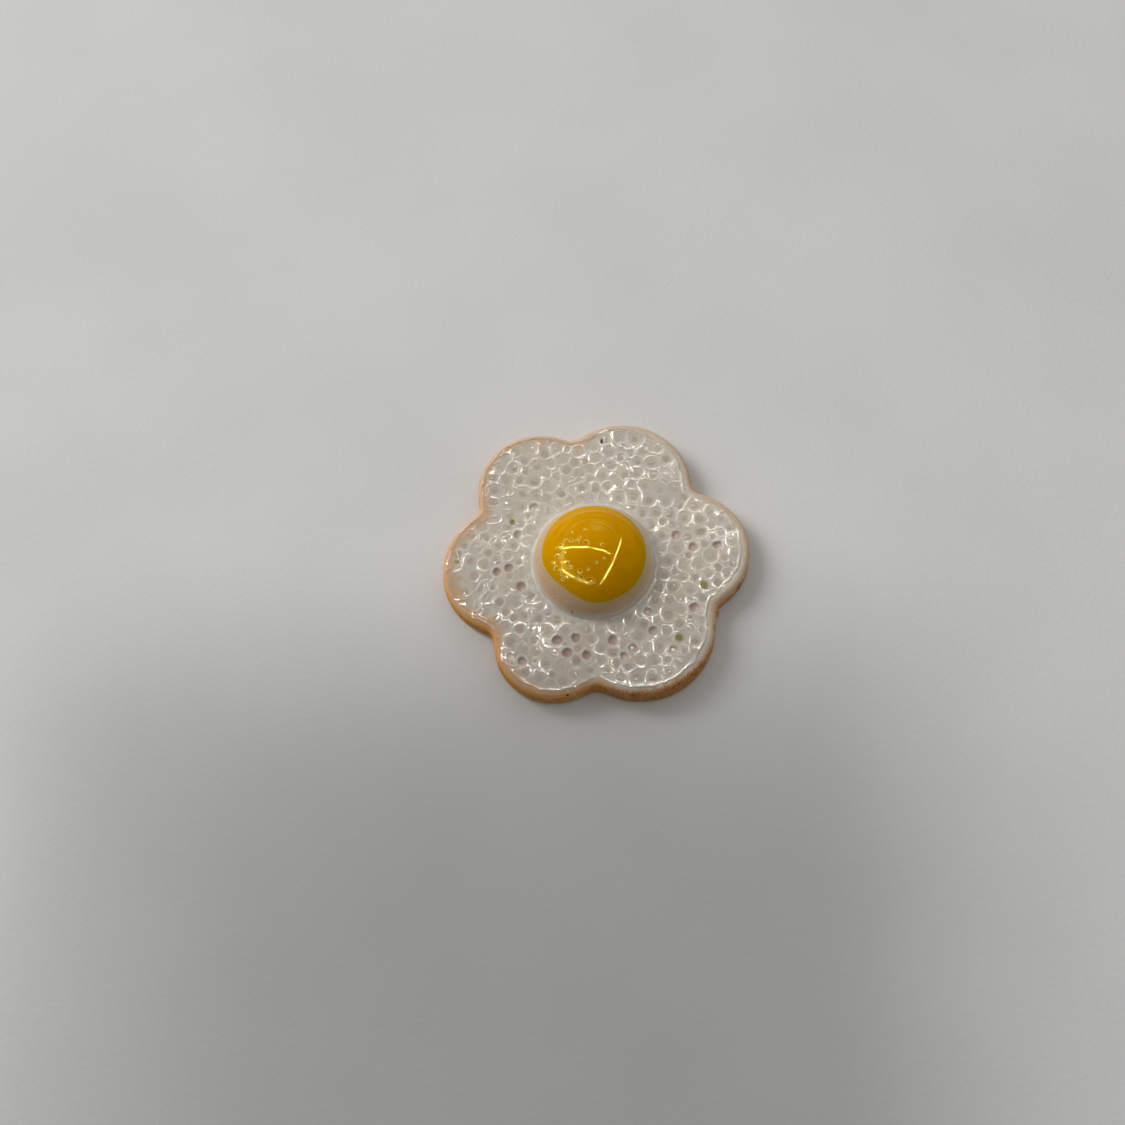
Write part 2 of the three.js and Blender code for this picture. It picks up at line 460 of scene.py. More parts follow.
@dataclass(frozen=True)
class Outline:
    """The white's outline: a soft maximum over six lobes."""

    lobes: tuple[Lobe, ...] = (
        Lobe(5.4, 16.1, 6.5),
        Lobe(69.3, 15.9, 7.2),
        Lobe(126.8, 16.0, 6.5),
        Lobe(188.0, 15.6, 6.9),
        Lobe(245.7, 15.7, 6.0),
        Lobe(303.6, 16.0, 7.7),
    )
    sharpness: float = 21.0
    normal_step: float = 0.5
    probe_count: int = 288
    fine_count: int = 1440
    block: int = 2048

    def reach(self, angles: np.ndarray) -> np.ndarray:
        """Distance of the outline from the origin along each direction.

        Args:
            angles: Directions from the origin, in radians.

        Returns:
            One distance for each direction.
        """
        total = np.zeros_like(angles, float)
        for lobe in self.lobes:
            turn = angles - math.radians(lobe.heading)
            centre = lobe.reach - lobe.radius
            inside = lobe.radius**2 - (centre * np.sin(turn)) ** 2
            seen = (inside > 0) & (np.cos(turn) > 0)
            far = centre * np.cos(turn) + np.sqrt(np.maximum(inside, 0.0))
            total += np.where(seen, np.maximum(far, 0.0) ** self.sharpness, 0.0)
        return total ** (1.0 / self.sharpness)

    def on_line(self, angles: np.ndarray) -> np.ndarray:
        """Places on the outline, one row of x and y for each direction."""
        return self.reach(angles)[:, None] * np.stack([np.cos(angles), np.sin(angles)], 1)

    def inward(self, angles: np.ndarray) -> np.ndarray:
        """The outline's inward normal in each direction.

        Args:
            angles: Directions from the origin, in radians.

        Returns:
            One row of x and y for each direction.
        """
        step = math.radians(self.normal_step)
        along = self.on_line(angles + step) - self.on_line(angles - step)
        along /= np.linalg.norm(along, axis=1)[:, None]
        return np.stack([-along[:, 1], along[:, 0]], 1)

    def points(self, angles: np.ndarray, inset: np.ndarray | float) -> np.ndarray:
        """Places on the outline, moved inward by an inset along its normal, one row of x and y each."""
        return self.on_line(angles) + self.inward(angles) * np.reshape(inset, (-1, 1))

    @cache
    def probes(self, count: int) -> np.ndarray:
        """That many places on the outline, one row of x and y each."""
        return self.on_line(circle(count))

    def nearest(self, places: np.ndarray, count: int) -> tuple[np.ndarray, np.ndarray]:
        """The outline's point that is nearest to each place.

        Args:
            places: One row of x and y for each place.
            count: How many points stand for the outline.

        Returns:
            The nearest points, and how far inside the outline each place is, below 0 outside it.
        """
        probes = self.probes(count)
        best = np.empty(len(places), int)
        for start in range(0, len(places), self.block):
            some = places[start : start + self.block]
            across, along = (some[:, None, axis] - probes[None, :, axis] for axis in (0, 1))
            best[start : start + self.block] = (across**2 + along**2).argmin(1)
        found = probes[best]
        gap = np.hypot(*(places - found).T)
        inside = np.hypot(*places.T) < self.reach(bearing(places))
        return found, np.where(inside, gap, -gap)

    def depth(self, places: np.ndarray) -> np.ndarray:
        """How far inside the outline each place is, measured square to its segments.

        Args:
            places: One row of x and y for each place.

        Returns:
            One distance for each place, below 0 outside.
        """
        probes = self.probes(self.fine_count)
        found, rough = self.nearest(places, self.fine_count)
        index = np.rint(bearing(found) / FULL_TURN * self.fine_count).astype(int) % self.fine_count
        nearest = np.abs(rough)
        for side in (-1, 1):
            along = probes[(index + side) % self.fine_count] - probes[index]
            length = np.hypot(*along.T)
            share = np.clip(((places - probes[index]) * along).sum(1) / length**2, 0.0, 1.0)
            foot = probes[index] + along * share[:, None]
            nearest = np.minimum(nearest, np.hypot(*(places - foot).T))
        return np.sign(rough) * nearest


@dataclass(frozen=True)
class Dome:
    """The dome in the middle, half an ellipsoid, and the yolk's edge and dish on it."""

    centre: Place = (0.05, -0.55)
    radius: float = 6.15
    height: float = 4.0
    fillet: float = 0.35
    yolk_radius: float = 5.2
    yolk_retreat: float = 0.45
    retreat_heading: float = 230.0
    retreat_half_width: float = 45.0
    dish_height: float = 1.2
    seam: float = 0.05
    foot_waves: tuple[tuple[int, float], ...] = (
        (4, 0.05),
        (7, 0.05),
        (11, 0.05),
        (17, 0.045),
        (26, 0.03),
    )
    foot_phase: float = 2.3

    def rise(self, radius: np.ndarray) -> np.ndarray:
        """Height of the dome's skin above the slab's top."""
        return self.height * np.sqrt(np.maximum(1.0 - (radius / self.radius) ** 2, 0.0))

    def yolk_reach(self, angles: np.ndarray) -> np.ndarray:
        """Distance of the yolk's edge from the dome's centre."""
        share = np.clip(angle_gap(angles, self.retreat_heading) / self.retreat_half_width, 0.0, 1.0)
        return self.yolk_radius - self.yolk_retreat * np.cos(0.5 * math.pi * share) ** 2

    def foot(self, angles: np.ndarray) -> np.ndarray:
        """Distance of the fillet's wavy outer edge from the dome's axis.

        Args:
            angles: Directions from the dome's axis, in radians.

        Returns:
            One distance for each direction.
        """
        phase = self.foot_phase
        wave = sum(size * np.sin(count * angles + phase * count) for count, size in self.foot_waves)
        return self.radius + self.fillet + wave

    def outside(self, places: np.ndarray) -> np.ndarray:
        """How far outside the fillet's edge each place lies."""
        return self.away(places) - self.foot(self.turn(places))

    def turn(self, places: np.ndarray) -> np.ndarray:
        """Direction of each place from the dome's axis, in radians."""
        return bearing(places[:, :2] - self.centre)

    def away(self, places: np.ndarray) -> np.ndarray:
        """Distance of each place from the dome's axis."""
        return np.hypot(places[:, 0] - self.centre[0], places[:, 1] - self.centre[1])

    def ring(
        self, angles: np.ndarray, radius: np.ndarray | float, height: np.ndarray | float
    ) -> np.ndarray:
        """A ring of points round the dome's axis.

        Args:
            angles: Directions of the points.
            radius: Distance from the axis.
            height: Height above the table.

        Returns:
            One row of x, y and z for each point.
        """
        x = self.centre[0] + radius * np.cos(angles)
        y = self.centre[1] + radius * np.sin(angles)
        return np.stack([x, y, np.broadcast_to(height, angles.shape)], 1)

    def dish(self, angles: np.ndarray, base: float, lift: float, steps: int) -> list[np.ndarray]:
        """Rings of the dish under the yolk, from its edge inward.

        Args:
            angles: Directions of the points.
            base: Height of the slab's top.
            lift: How far above the dish the rings lie.
            steps: How many rings.

        Returns:
            The rings, without the middle.
        """
        edge = self.yolk_reach(angles)
        rings = []
        for share in 1.0 - np.arange(steps) / steps:
            rise = self.dish_height + (self.rise(edge) - self.dish_height) * share**2
            rings.append(self.ring(angles, edge * share, base + rise + lift))
        return rings


class PitKind(Enum):
    """How a pit's wall curves, from how flat its floor is and how soft its edge is."""

    BOWL = (2.0, 1.7)
    DEEP = (2.4, 1.6)

    def profile(self, share: np.ndarray) -> np.ndarray:
        """Part of the pit's full depth, by the share of the way from its middle to its edge."""
        power, falloff = self.value
        return np.maximum(1.0 - np.minimum(share, 1.0) ** power, 0.0) ** falloff


@dataclass
class Pits:
    """The pits of the froth, one entry of each field for each pit."""

    places: np.ndarray
    radii: np.ndarray
    depths: np.ndarray
    tones: np.ndarray
    deep: np.ndarray
    discs: np.ndarray = field(default_factory=lambda: np.empty(0))
    blisters: np.ndarray = field(default_factory=lambda: np.empty(0))
    arcs: np.ndarray = field(default_factory=lambda: np.empty(0))
    edges: np.ndarray = field(default_factory=lambda: np.empty((0, 0)))

    def join(self, other: "Pits") -> "Pits":
        """These pits and then the others."""
        names = [column.name for column in fields(self)]
        return Pits(*(np.concatenate([getattr(self, name), getattr(other, name)]) for name in names))


@dataclass(frozen=True)
class Froth:
    """The pitted field between the dome and the border: where its pits lie and how deep they are."""

    outline: Outline
    dome: Dome
    deep_pits: tuple[tuple[float, float, float, float], ...] = (
        (-9.79, -1.7, 0.5, 0.9),
        (-8.6, -1.27, 0.5, 0.9),
        (-7.32, -3.32, 0.56, 0.9),
        (-6.17, 5.5, 0.5, 0.55),
        (-7.76, 2.36, 0.5, 0.6),
        (-3.62, -8.91, 0.56, 1.0),
        (-1.74, -8.7, 0.52, 1.0),
        (-2.62, -10.25, 0.56, 1.0),
        (-0.64, -10.46, 0.52, 1.0),
        (1.93, -8.91, 0.56, 0.85),
        (3.9, -9.75, 0.5, 0.7),
        (3.01, -10.6, 0.44, 0.6),
        (5.92, -7.97, 0.5, 0.7),
        (5.46, -5.94, 0.5, 0.55),
        (7.86, -9.94, 0.5, 0.5),
        (10.07, -5.56, 0.56, 0.7),
        (8.48, 2.36, 0.56, 0.75),
        (10.18, 1.03, 0.5, 0.75),
        (12.65, 1.25, 0.5, 0.7),
        (-7.04, -11.13, 0.5, 0.7),
    )
    deep_depth: float = 0.24
    bowl_count: int = 240
    bowl_radius: Span = (0.46, 0.4)
    bowl_depth: Span = (0.005, 0.012)
    bowl_tone: Span = (0.2, 0.8)
    disc_radius: Span = (0.34, 0.18)
    disc_edge: Span = (-1.15, -0.6)
    hole_edge: Span = (-1.2, -0.66)
    halo_edge: Span = (-1.6, -1.1)
    wall_middle: float = 0.8
    wall_reach: float = 0.35
    blister_radius: float = 0.15
    blister_height: Span = (0.02, 0.035)
    blister_gap: float = 0.17
    blister_parts: tuple[tuple[float, float], ...] = ((0.0, 1.0), (2.6, 0.7))
    blister_shrink: Span = (0.4, 0.6)
    arc_lean: float = 0.45
    arc_swell: Swell = Swell(1.9, 21.5)
    arc_fade: Span = (-0.4, 0.0)
    ring_width: float = 0.075
    crease_swell: Swell = Swell(1.0, 61.5, 0.6)
    crease_patch: Swell = Swell(1.6, 67.5)
    crease_fade: Span = (0.08, 0.26)
    border_crease: float = 0.9
    border_fade: Span = (0.1, 0.35)
    moat_crease: float = 0.8
    moat_middle: float = 0.2
    moat_reach: float = 0.6
    moat_swell: Swell = Swell(1.2, 71.5, 0.45)
    moat_patch: Swell = Swell(2.2, 73.5)
    moat_fade: Span = (0.0, 0.25)
    fine_ridge: float = 0.12
    fine_blister: float = 0.001
    search_share: float = 1.6
    least_radius: float = 0.34
    froth_place: Place = (-0.5, 10.0)
    froth_reach: float = 4.5
    froth_shrink: float = 0.28
    web: float = 0.1
    border: float = 1.0
    moat: float = 0.1
    rounds: int = 120
    seed: int = 20817
    bead_tries: int = 1500
    bead_radius: Span = (0.17, 0.13)
    bead_depth: Span = (0.005, 0.01)
    bead_web: float = 0.05
    edge_steps: int = 72
    edge_web: float = 0.05
    edge_search: float = 1.0
    edge_growth: float = 1.25
    edge_power: float = 9.0

    def start(self) -> float:
        """The field's distance from the dome's centre."""
        return self.dome.radius + self.dome.fillet + self.moat

    def lay_out(self) -> Pits:
        """Strews bowls between the deep pits, lets crowded ones push each other apart and adds beads.

        Returns:
            The pits, the deep ones first and the beads last, with their edges.
        """
        draw = Draws(self.seed)
        widest = max(lobe.reach for lobe in self.outline.lobes)
        rows = [row[:3] for row in self.deep_pits]
        depths = [self.deep_depth] * len(rows)
        tones = [row[3] for row in self.deep_pits]
        fixed = len(rows)
        while len(rows) < fixed + self.bowl_count:
            x, y = widest * (2 * draw.next() - 1), widest * (2 * draw.next() - 1)
            froth = max(0.0, 1 - math.dist((x, y), self.froth_place) / self.froth_reach)
            radius = self.bowl_radius[0] + self.bowl_radius[1] * draw.next()
            radius *= 1 - self.froth_shrink * froth
            depth, tone, _ = draw.many(3)
            edge = self.outline.reach(np.array([math.atan2(y, x)]))[0] - self.border
            if math.hypot(x, y) < edge and math.dist((x, y), self.dome.centre) > self.start():
                rows.append((x, y, radius))
                depths.append(self.bowl_depth[0] + self.bowl_depth[1] * depth)
                tones.append(self.bowl_tone[0] + self.bowl_tone[1] * tone)
        pits = np.array(rows)
        for _ in range(self.rounds):
            for index in range(fixed, len(pits)):
                self.settle(pits, index, fixed)
        for index in range(fixed, len(pits)):
            self.trim(pits, index)
        kept = pits[:, 2] >= self.least_radius
        deep = np.arange(len(pits)) < fixed
        columns = (pits[:, :2], pits[:, 2], np.array(depths), np.array(tones), deep)
        laid = Pits(*(column[kept] for column in columns))
        laid = laid.join(self.beads(laid, draw))
        count = len(laid.radii)
        discs = self.disc_radius[0] + self.disc_radius[1] * draw.many(count)
        laid.discs = np.minimum(discs, laid.radii)
        laid.blisters = self.blister_height[0] + self.blister_height[1] * draw.many(count)
        laid.blisters[laid.deep] = 0.0
        laid.arcs = FULL_TURN * draw.many(count)
        laid.edges = self.edge_table(laid)
        return laid

    def settle(self, pits: np.ndarray, index: int, fixed: int) -> None:
        """Moves one pit away from those that crowd it and back into the field.

        Args:
            pits: All pits, one row of x, y and radius each, changed in place.
            index: The pit's row.
            fixed: How many rows at the start never move.
        """
        place, radius = pits[index, :2].copy(), pits[index, 2]
        offset = place - pits[:, :2]
        apart = np.hypot(*offset.T)
        crowding = radius + pits[:, 2] + self.web - apart
        crowding[index] = 0.0
        near = np.flatnonzero(crowding > 0)
        share = np.where(near < fixed, 1.0, 0.5) * crowding[near] / apart[near]
        place += (offset[near] * share[:, None]).sum(0)
        from_dome = place - self.dome.centre
        gap = math.hypot(*from_dome)
        if gap < self.start() + radius:
            place += from_dome * ((self.start() + radius - gap) / gap)
        nearest, depth = self.outline.nearest(place[None, :], self.outline.probe_count)
        short = self.border + radius - depth[0]
        if short > 0:
            place += (place - nearest[0]) * (short / depth[0])
        pits[index, :2] = place

    def trim(self, pits: np.ndarray, index: int) -> None:
        """Shrinks one pit until a whole web is left round it.

        Args:
            pits: Their x, y and radius, one row each, changed in place.
            index: The row of the pit.
        """
        place = pits[index, :2]
        gaps = np.hypot(*(pits[:, :2] - place).T) - pits[:, 2] - self.web
        gaps[index] = np.inf
        border = self.outline.nearest(place[None, :], self.outline.probe_count)[1][0] - self.border
        moat = math.dist(place, self.dome.centre) - self.start()
        pits[index, 2] = min(pits[index, 2], gaps.min(), border, moat)

    def beads(self, laid: Pits, draw: Draws) -> Pits:
        """Tiny pits in the gaps between the others.

        Args:
            laid: The pits that are there already.
            draw: Where the numbers come from.

        Returns:
            The beads alone.
        """
        tries = draw.many(4 * self.bead_tries).reshape(-1, 4)
        widest = max(lobe.reach for lobe in self.outline.lobes)
        places = widest * (2 * tries[:, :2] - 1)
        radii = self.bead_radius[0] + self.bead_radius[1] * tries[:, 2]
        depths = self.bead_depth[0] + self.bead_depth[1] * tries[:, 3]
        depth = self.outline.nearest(places, self.outline.probe_count)[1]
        room = np.minimum(depth - self.border, self.dome.away(places) - self.start())
        taken_places, taken_radii = list(laid.places), list(laid.radii)
        chosen = []
        for index in np.flatnonzero(room > radii):
            gaps = np.hypot(*(np.array(taken_places) - places[index]).T) - np.array(taken_radii)
            if gaps.min() > radii[index] + self.bead_web:
                chosen.append(index)
                taken_places.append(places[index])
                taken_radii.append(radii[index])
        tones = self.bowl_tone[0] + self.bowl_tone[1] * tries[:, 3]
        columns = (places, radii, depths, tones, np.zeros(len(tries), bool))
        return Pits(*(column[chosen] for column in columns))

    def edge_table(self, laid: Pits) -> np.ndarray:
        """How far each pit reaches in each direction to a neighbour, the border or the moat.

        Args:
            laid: The pits.

        Returns:
            One row for each pit and one column for each direction.
        """
        turns = circle(self.edge_steps)
        nearest, depth = self.outline.nearest(laid.places, self.outline.fine_count)
        table = np.empty((len(laid.radii), self.edge_steps))
        for index, (place, radius) in enumerate(zip(laid.places, laid.radii)):
            offset = laid.places - place
            apart = np.hypot(*offset.T)
            near = np.flatnonzero((apart > 0) & (apart < radius + laid.radii + self.edge_search))
            halves = 0.5 * (apart[near] + radius - laid.radii[near] - self.edge_web)
            to_rim = nearest[index] - place
            to_dome = np.array(self.dome.centre) - place
            ends = (depth[index] - self.border, math.hypot(*to_dome) - self.start())
            walls = [*halves, *(end + self.moat for end in ends)]
            faces = bearing(np.array([*offset[near], to_rim, to_dome]))
            inverse = np.full(self.edge_steps, (1.0 / (self.edge_growth * radius)) ** self.edge_power)
            for wall, face in zip(walls, faces):
                toward = np.maximum(np.cos(turns - face), 0.0)
                inverse += (toward / max(wall, 0.5 * radius)) ** self.edge_power
            table[index] = inverse ** (-1.0 / self.edge_power)
        return table

    def relief(self, laid: Pits, places: np.ndarray, depth: np.ndarray) -> dict[str, np.ndarray]:
        """How deep the froth is at each place, and in what part of which pit the place lies.

        Args:
            laid: The pits with their edges.
            places: One row of x and y for each place.
            depth: How far inside the outline each place is.

        Returns:
            sink, the depth in millimetres, ridge, from 0 to 1 on the rings round the pits, disc,
            how grey the pit's middle is painted, the resin's own tone together with painted shade
            of the hollow, hole and halo, the floor of a deep pit and the pale band round it, and
            fine, whether the place needs a close mesh.
        """
        count = len(places)
        crease = self.creases(places, depth)
        found = {name: np.zeros(count) for name in ("sink", "disc", "hole", "halo")}
        found["ridge"] = crease
        patch = self.arc_swell.over(places)
        blister = np.zeros(count)
        fine = crease > self.fine_ridge
        for index, place in enumerate(laid.places):
            reach = self.search_share * laid.edges[index].max()
            offset = places - place
            near = np.flatnonzero((np.abs(offset) < reach).all(1))
            if not len(near):
                continue
            offset = offset[near]
            heading = bearing(offset)
            away = np.hypot(*offset.T)
            edge = self.edge(laid.edges[index], heading)
            lean = self.arc_lean * np.cos(heading - laid.arcs[index])
            ring = self.crest(away - edge) * smooth(patch[near] + lean, *self.arc_fade)
            parts = {"ridge": ring}
            if laid.deep[index]:
                here = away / laid.radii[index]
                parts["sink"] = laid.depths[index] * PitKind.DEEP.profile(here)
                parts["hole"] = laid.tones[index] * smooth(-here, *self.hole_edge)
                parts["halo"] = smooth(-here, *self.halo_edge)
                fine[near] |= np.abs(here - self.wall_middle) < self.wall_reach
            else:
                parts["sink"] = laid.depths[index] * PitKind.BOWL.profile(away / edge)
                # disc: the pit's middle painted greyer, the resin's tone together with painted shade of
                # the hollow.
                parts["disc"] = laid.tones[index] * smooth(-away / laid.discs[index], *self.disc_edge)
            for name, value in parts.items():
                found[name][near] = np.maximum(found[name][near], value)
            rise = laid.blisters[index] * self.blister(offset, laid.arcs[index])
            blister[near] += rise
            fine[near] |= (ring > self.fine_ridge) | (rise > self.fine_blister)
        found["sink"] -= blister
        return {**found, "fine": fine}

    def blister(self, offset: np.ndarray, heading: float) -> np.ndarray:
        """Two small blisters side by side in the middle of a pit, from 0 to 1 over their height.

        Args:
            offset: One row of x and y from the pit's middle for each place.
            heading: Where the larger blister lies, in radians.

        Returns:
            One number for each place.
        """
        total = np.zeros(len(offset))
        least, further = self.blister_shrink
        for turn, share in self.blister_parts:
            toward = np.array([math.cos(heading + turn), math.sin(heading + turn)])
            away = np.hypot(*(offset - self.blister_gap * share * toward).T)
            inside = 1.0 - (away / (self.blister_radius * (least + further * share))) ** 2
            total += share * np.maximum(inside, 0.0) ** 2
        return total

    def crest(self, gap: np.ndarray) -> np.ndarray:
        """The section of a thin ridge: 1 on its line and 0 beside it."""
        return np.exp(-((gap / self.ring_width) ** 2))

    def creases(self, places: np.ndarray, depth: np.ndarray) -> np.ndarray:
        """Thin ridges, from 0 to 1, that wander here and there, along the border and round the dome.

        Args:
            places: One row of x and y for each place.
            depth: How far inside the outline each place is.

        Returns:
            One number for each place.
        """
        patch = smooth(self.crease_patch.over(places), *self.crease_fade)
        start, end = self.border_fade
        border = 1.0 - smooth(depth, self.border + start, self.border + end)
        creases = self.crest(self.crease_swell.over(places))
        creases *= np.maximum(patch, self.border_crease * border)
        gap = self.dome.away(places) - self.start() - self.moat_middle
        near = np.flatnonzero(np.abs(gap) < self.moat_reach)
        moat = self.moat_crease * self.crest(gap[near] - self.moat_swell.over(places[near]))
        moat *= smooth(self.moat_patch.over(places[near]), *self.moat_fade)
        creases[near] = np.maximum(creases[near], moat)
        return creases

    def edge(self, row: np.ndarray, heading: np.ndarray) -> np.ndarray:
        """The reach of one pit along each heading, from its row of the edge table.

        Args:
            row: The pit's row of the edge table.
            heading: Directions from the pit's middle, in radians.

        Returns:
            One distance for each heading.
        """
        turn = heading / FULL_TURN % 1.0 * self.edge_steps
        low = np.floor(turn).astype(int)
        part = turn - low
        return row[low % self.edge_steps] * (1 - part) + row[(low + 1) % self.edge_steps] * part


# ---------------------------------------------------------------- finishes


@dataclass(frozen=True)
class Stain:
    """One small tinted place on the white, round it or stretched along a direction."""

    place: Point
    radius: float
    colour: Colour
    strength: float = 1.0
    stretch: float = 1.0


OLIVE = (0.30, 0.27, 0.08)
SALMON = (0.70, 0.48, 0.34)
SOOT = (0.05, 0.035, 0.02)


@dataclass(frozen=True)
class WhiteFinish:
    """Clear glossy coat over cloudy cream resin, with a rim that is airbrushed brown, painted shade in
    the pits and along the rim's foot and outer line, and a painted highlight on the ridges.
    """

    cream: Colour = (0.69, 0.62, 0.51)
    cool: Colour = (0.63, 0.58, 0.50)
    # crest: pale resin, laid on the moat's wisps and, as a painted highlight, on the ridges.
    crest: Colour = (0.80, 0.76, 0.69)
    # bowl: grey of the pits' middles, the resin's tone together with painted shade of the hollows.
    bowl: Colour = (0.47, 0.385, 0.31)
    hole: Colour = (0.44, 0.315, 0.255)
    halo: Colour = (0.72, 0.67, 0.60)
    flank: Colour = (0.62, 0.44, 0.28)
    flank_low: Colour = (0.64, 0.44, 0.20)
    tan: Colour = (0.66, 0.45, 0.29)
    gold: Colour = (0.80, 0.40, 0.12)
    brown: Colour = (0.53, 0.235, 0.065)
    # The darkest brown: spray together with painted shade where the foot and the front are darkest.
    char: Colour = (0.27, 0.09, 0.025)
    stains: tuple[Stain, ...] = (
        Stain((-1.43, 12.72, 2.3), 0.62, SALMON, 0.7),
        Stain((-5.49, 12.57, 2.3), 0.62, SALMON, 0.6),
        Stain((-13.24, 2.50, 2.3), 0.8, SALMON, 0.6),
        Stain((-11.22, 4.37, 2.3), 0.62, SALMON, 0.5),
        Stain((0.85, 13.1, 2.3), 0.16, SOOT, 1.0, 2.3),
        Stain((-2.53, -14.45, 2.1), 0.12, SOOT, 0.9),
        Stain((-2.15, -6.19, 3.0), 0.1, SOOT, 0.8),
        Stain((-14.67, 0.75, 2.2), 0.12, SOOT, 0.7),
        Stain((-8.41, 3.81, 2.3), 0.3, OLIVE, 1.0, 1.3),
        Stain((-9.04, 7.67, 2.3), 0.22, (0.62, 0.55, 0.22), 0.6),
        Stain((-13.95, -0.56, 2.3), 0.3, OLIVE, 0.7),
        Stain((11.06, -3.11, 2.2), 0.5, OLIVE, 0.9),
        Stain((8.44, -8.6, 2.2), 0.45, OLIVE, 0.9),
        Stain((8.64, 0.70, 2.3), 0.35, (0.55, 0.55, 0.38), 0.6),
        Stain((14.95, -3.1, 1.4), 0.55, (0.34, 0.13, 0.04), 0.8),
        Stain((12.1, -7.5, 1.5), 0.5, (0.40, 0.17, 0.06), 0.7),
    )

    cloud: Mottle = Mottle(1.7, 4.0, 0.0, 0.35, 0.65)
    grain: Mottle = Mottle(0.35, 3.0, 7.0, 0.55, 0.75)
    wisp: Mottle = Mottle(0.8, 5.0, 13.0, 0.4, 0.62)
    dust: Mottle = Mottle(0.13, 2.0, 31.0, 0.54, 0.66)
    patchy: Mottle = Mottle(0.9, 4.0, 3.0)
    speck: Mottle = Mottle(0.16, 3.0, 23.0)
    pebble: Mottle = Mottle(0.22, 4.0, 11.0)
    fray: Mottle = Mottle(0.35, 2.0, 17.0)
    stain_edge: Span = (1.25, 0.6)
    disc_shade_tint: Span = (0.6, 0.5)
    # How far the ridges take the crest colour as a painted highlight, and grain patches as the resin's
    # own tone.
    highlight_and_grain_tint: Span = (0.2, 0.3)
    moat_tint: float = 0.6
    halo_tint: float = 0.4
    dust_tint: float = 0.6
    mixed_shares: Span = (0.6, 0.8)
    tan_mix: float = 0.8
    gold_mix: float = 2.0
    gold_start: Span = (0.0, 0.3)
    gold_edge: Span = (0.05, 1.0)
    brown_mix: float = 2.0
    brown_edge: Span = (0.2, 1.0)
    char_mix: float = 3.0
    char_edge: Span = (0.95, 1.7)
    pebble_height: float = 0.05

    def stained(self, graph: Graph, place: Signal, base: Signal) -> Signal:
        """Lays the stains over a colour.

        Args:
            graph: The material's node tree.
            place: The place, in millimetres.
            base: The colour.

        Returns:
            The stained colour.
        """
        frayed = 0.75 + 0.5 * graph.mottle(place, self.fray)
        outer, inner = self.stain_edge
        for stain in self.stains:
            offset = graph.vector("SUBTRACT", place, stain.place)
            scaled = graph.vector("MULTIPLY", offset, (1.0, 1.0 / stain.stretch, 0.5))
            away = graph.add("ShaderNodeVectorMath", {"operation": "LENGTH"}, {0: scaled}, "Value")
            mask = graph.ramp(away * frayed, outer * stain.radius, inner * stain.radius)
            base = graph.blend(mask * stain.strength, base, stain.colour)
        return base

    def resin(self, graph: Graph, place: Signal) -> Signal:
        """The cloudy resin's colour, with its pits, ridges and the dome's flank, painted shade in the
        pits' middles and a painted highlight on the ridges.

        Args:
            graph: The material's node tree.
            place: The place, in millimetres.

        Returns:
            The colour.
        """
        grain = graph.mottle(place, self.grain)
        cloudy = graph.patches(graph.mottle(place, self.cloud), self.cloud)
        base = graph.blend(cloudy, self.cream, self.cool)
        # Painted shade: the pits' middles are painted greyer, together with the resin's own tone.
        least, further = self.disc_shade_tint
        base = graph.blend(graph.stored("disc") * (least + further * grain), base, self.bowl)
        # Painted highlight: the ridges are painted paler; the grain patches are the resin's own tone.
        ridge_highlight, on_grain = self.highlight_and_grain_tint
        pale = graph.stored("ridge") * ridge_highlight + graph.patches(grain, self.grain) * on_grain
        base = graph.blend(pale, base, self.crest)
        wisps = graph.patches(graph.mottle(place, self.wisp), self.wisp)
        base = graph.blend(graph.stored("moat") * wisps * self.moat_tint, base, self.crest)
        base = graph.blend(graph.stored("halo") * self.halo_tint, base, self.halo)
        base = graph.blend(graph.stored("hole"), base, self.hole)
        flank = graph.blend(graph.stored("flank_low"), self.flank, self.flank_low)
        dust = graph.patches(graph.mottle(place, self.dust), self.dust)
        flank = graph.blend(dust * graph.stored("speckled") * self.dust_tint, flank, self.brown)
        return graph.blend(graph.stored("flank"), base, flank)

    def sprayed(self, graph: Graph, place: Signal, base: Signal) -> Signal:
        """Lays the rim's airbrushed browns, with painted shade along its foot and outer line, over a
        colour.

        Args:
            graph: The material's node tree.
            place: The place, in millimetres.
            base: The colour.

        Returns:
            The browned colour.
        """
        patchy = graph.mottle(place, self.patchy) - 0.5
        speck = graph.mottle(place, self.speck) - 0.5
        mixed = self.mixed_shares[0] * patchy + self.mixed_shares[1] * speck
        washed, toast, crust_and_shade = (graph.stored(name) for name in ("washed", "golden", "browned_and_shaded"))
        base = graph.blend(washed + self.tan_mix * mixed * washed, base, self.tan)
        toasted = toast + self.gold_mix * mixed * graph.ramp(toast, *self.gold_start)
        base = graph.blend(graph.ramp(toasted, *self.gold_edge), base, self.gold)
        browned_and_shaded = graph.ramp(crust_and_shade + self.brown_mix * mixed, *self.brown_edge)
        base = graph.blend(browned_and_shaded, base, self.brown)
        # The darkest brown is spray together with painted shade at the foot and the front.
        return graph.blend(graph.ramp(crust_and_shade + self.char_mix * mixed, *self.char_edge), base, self.char)

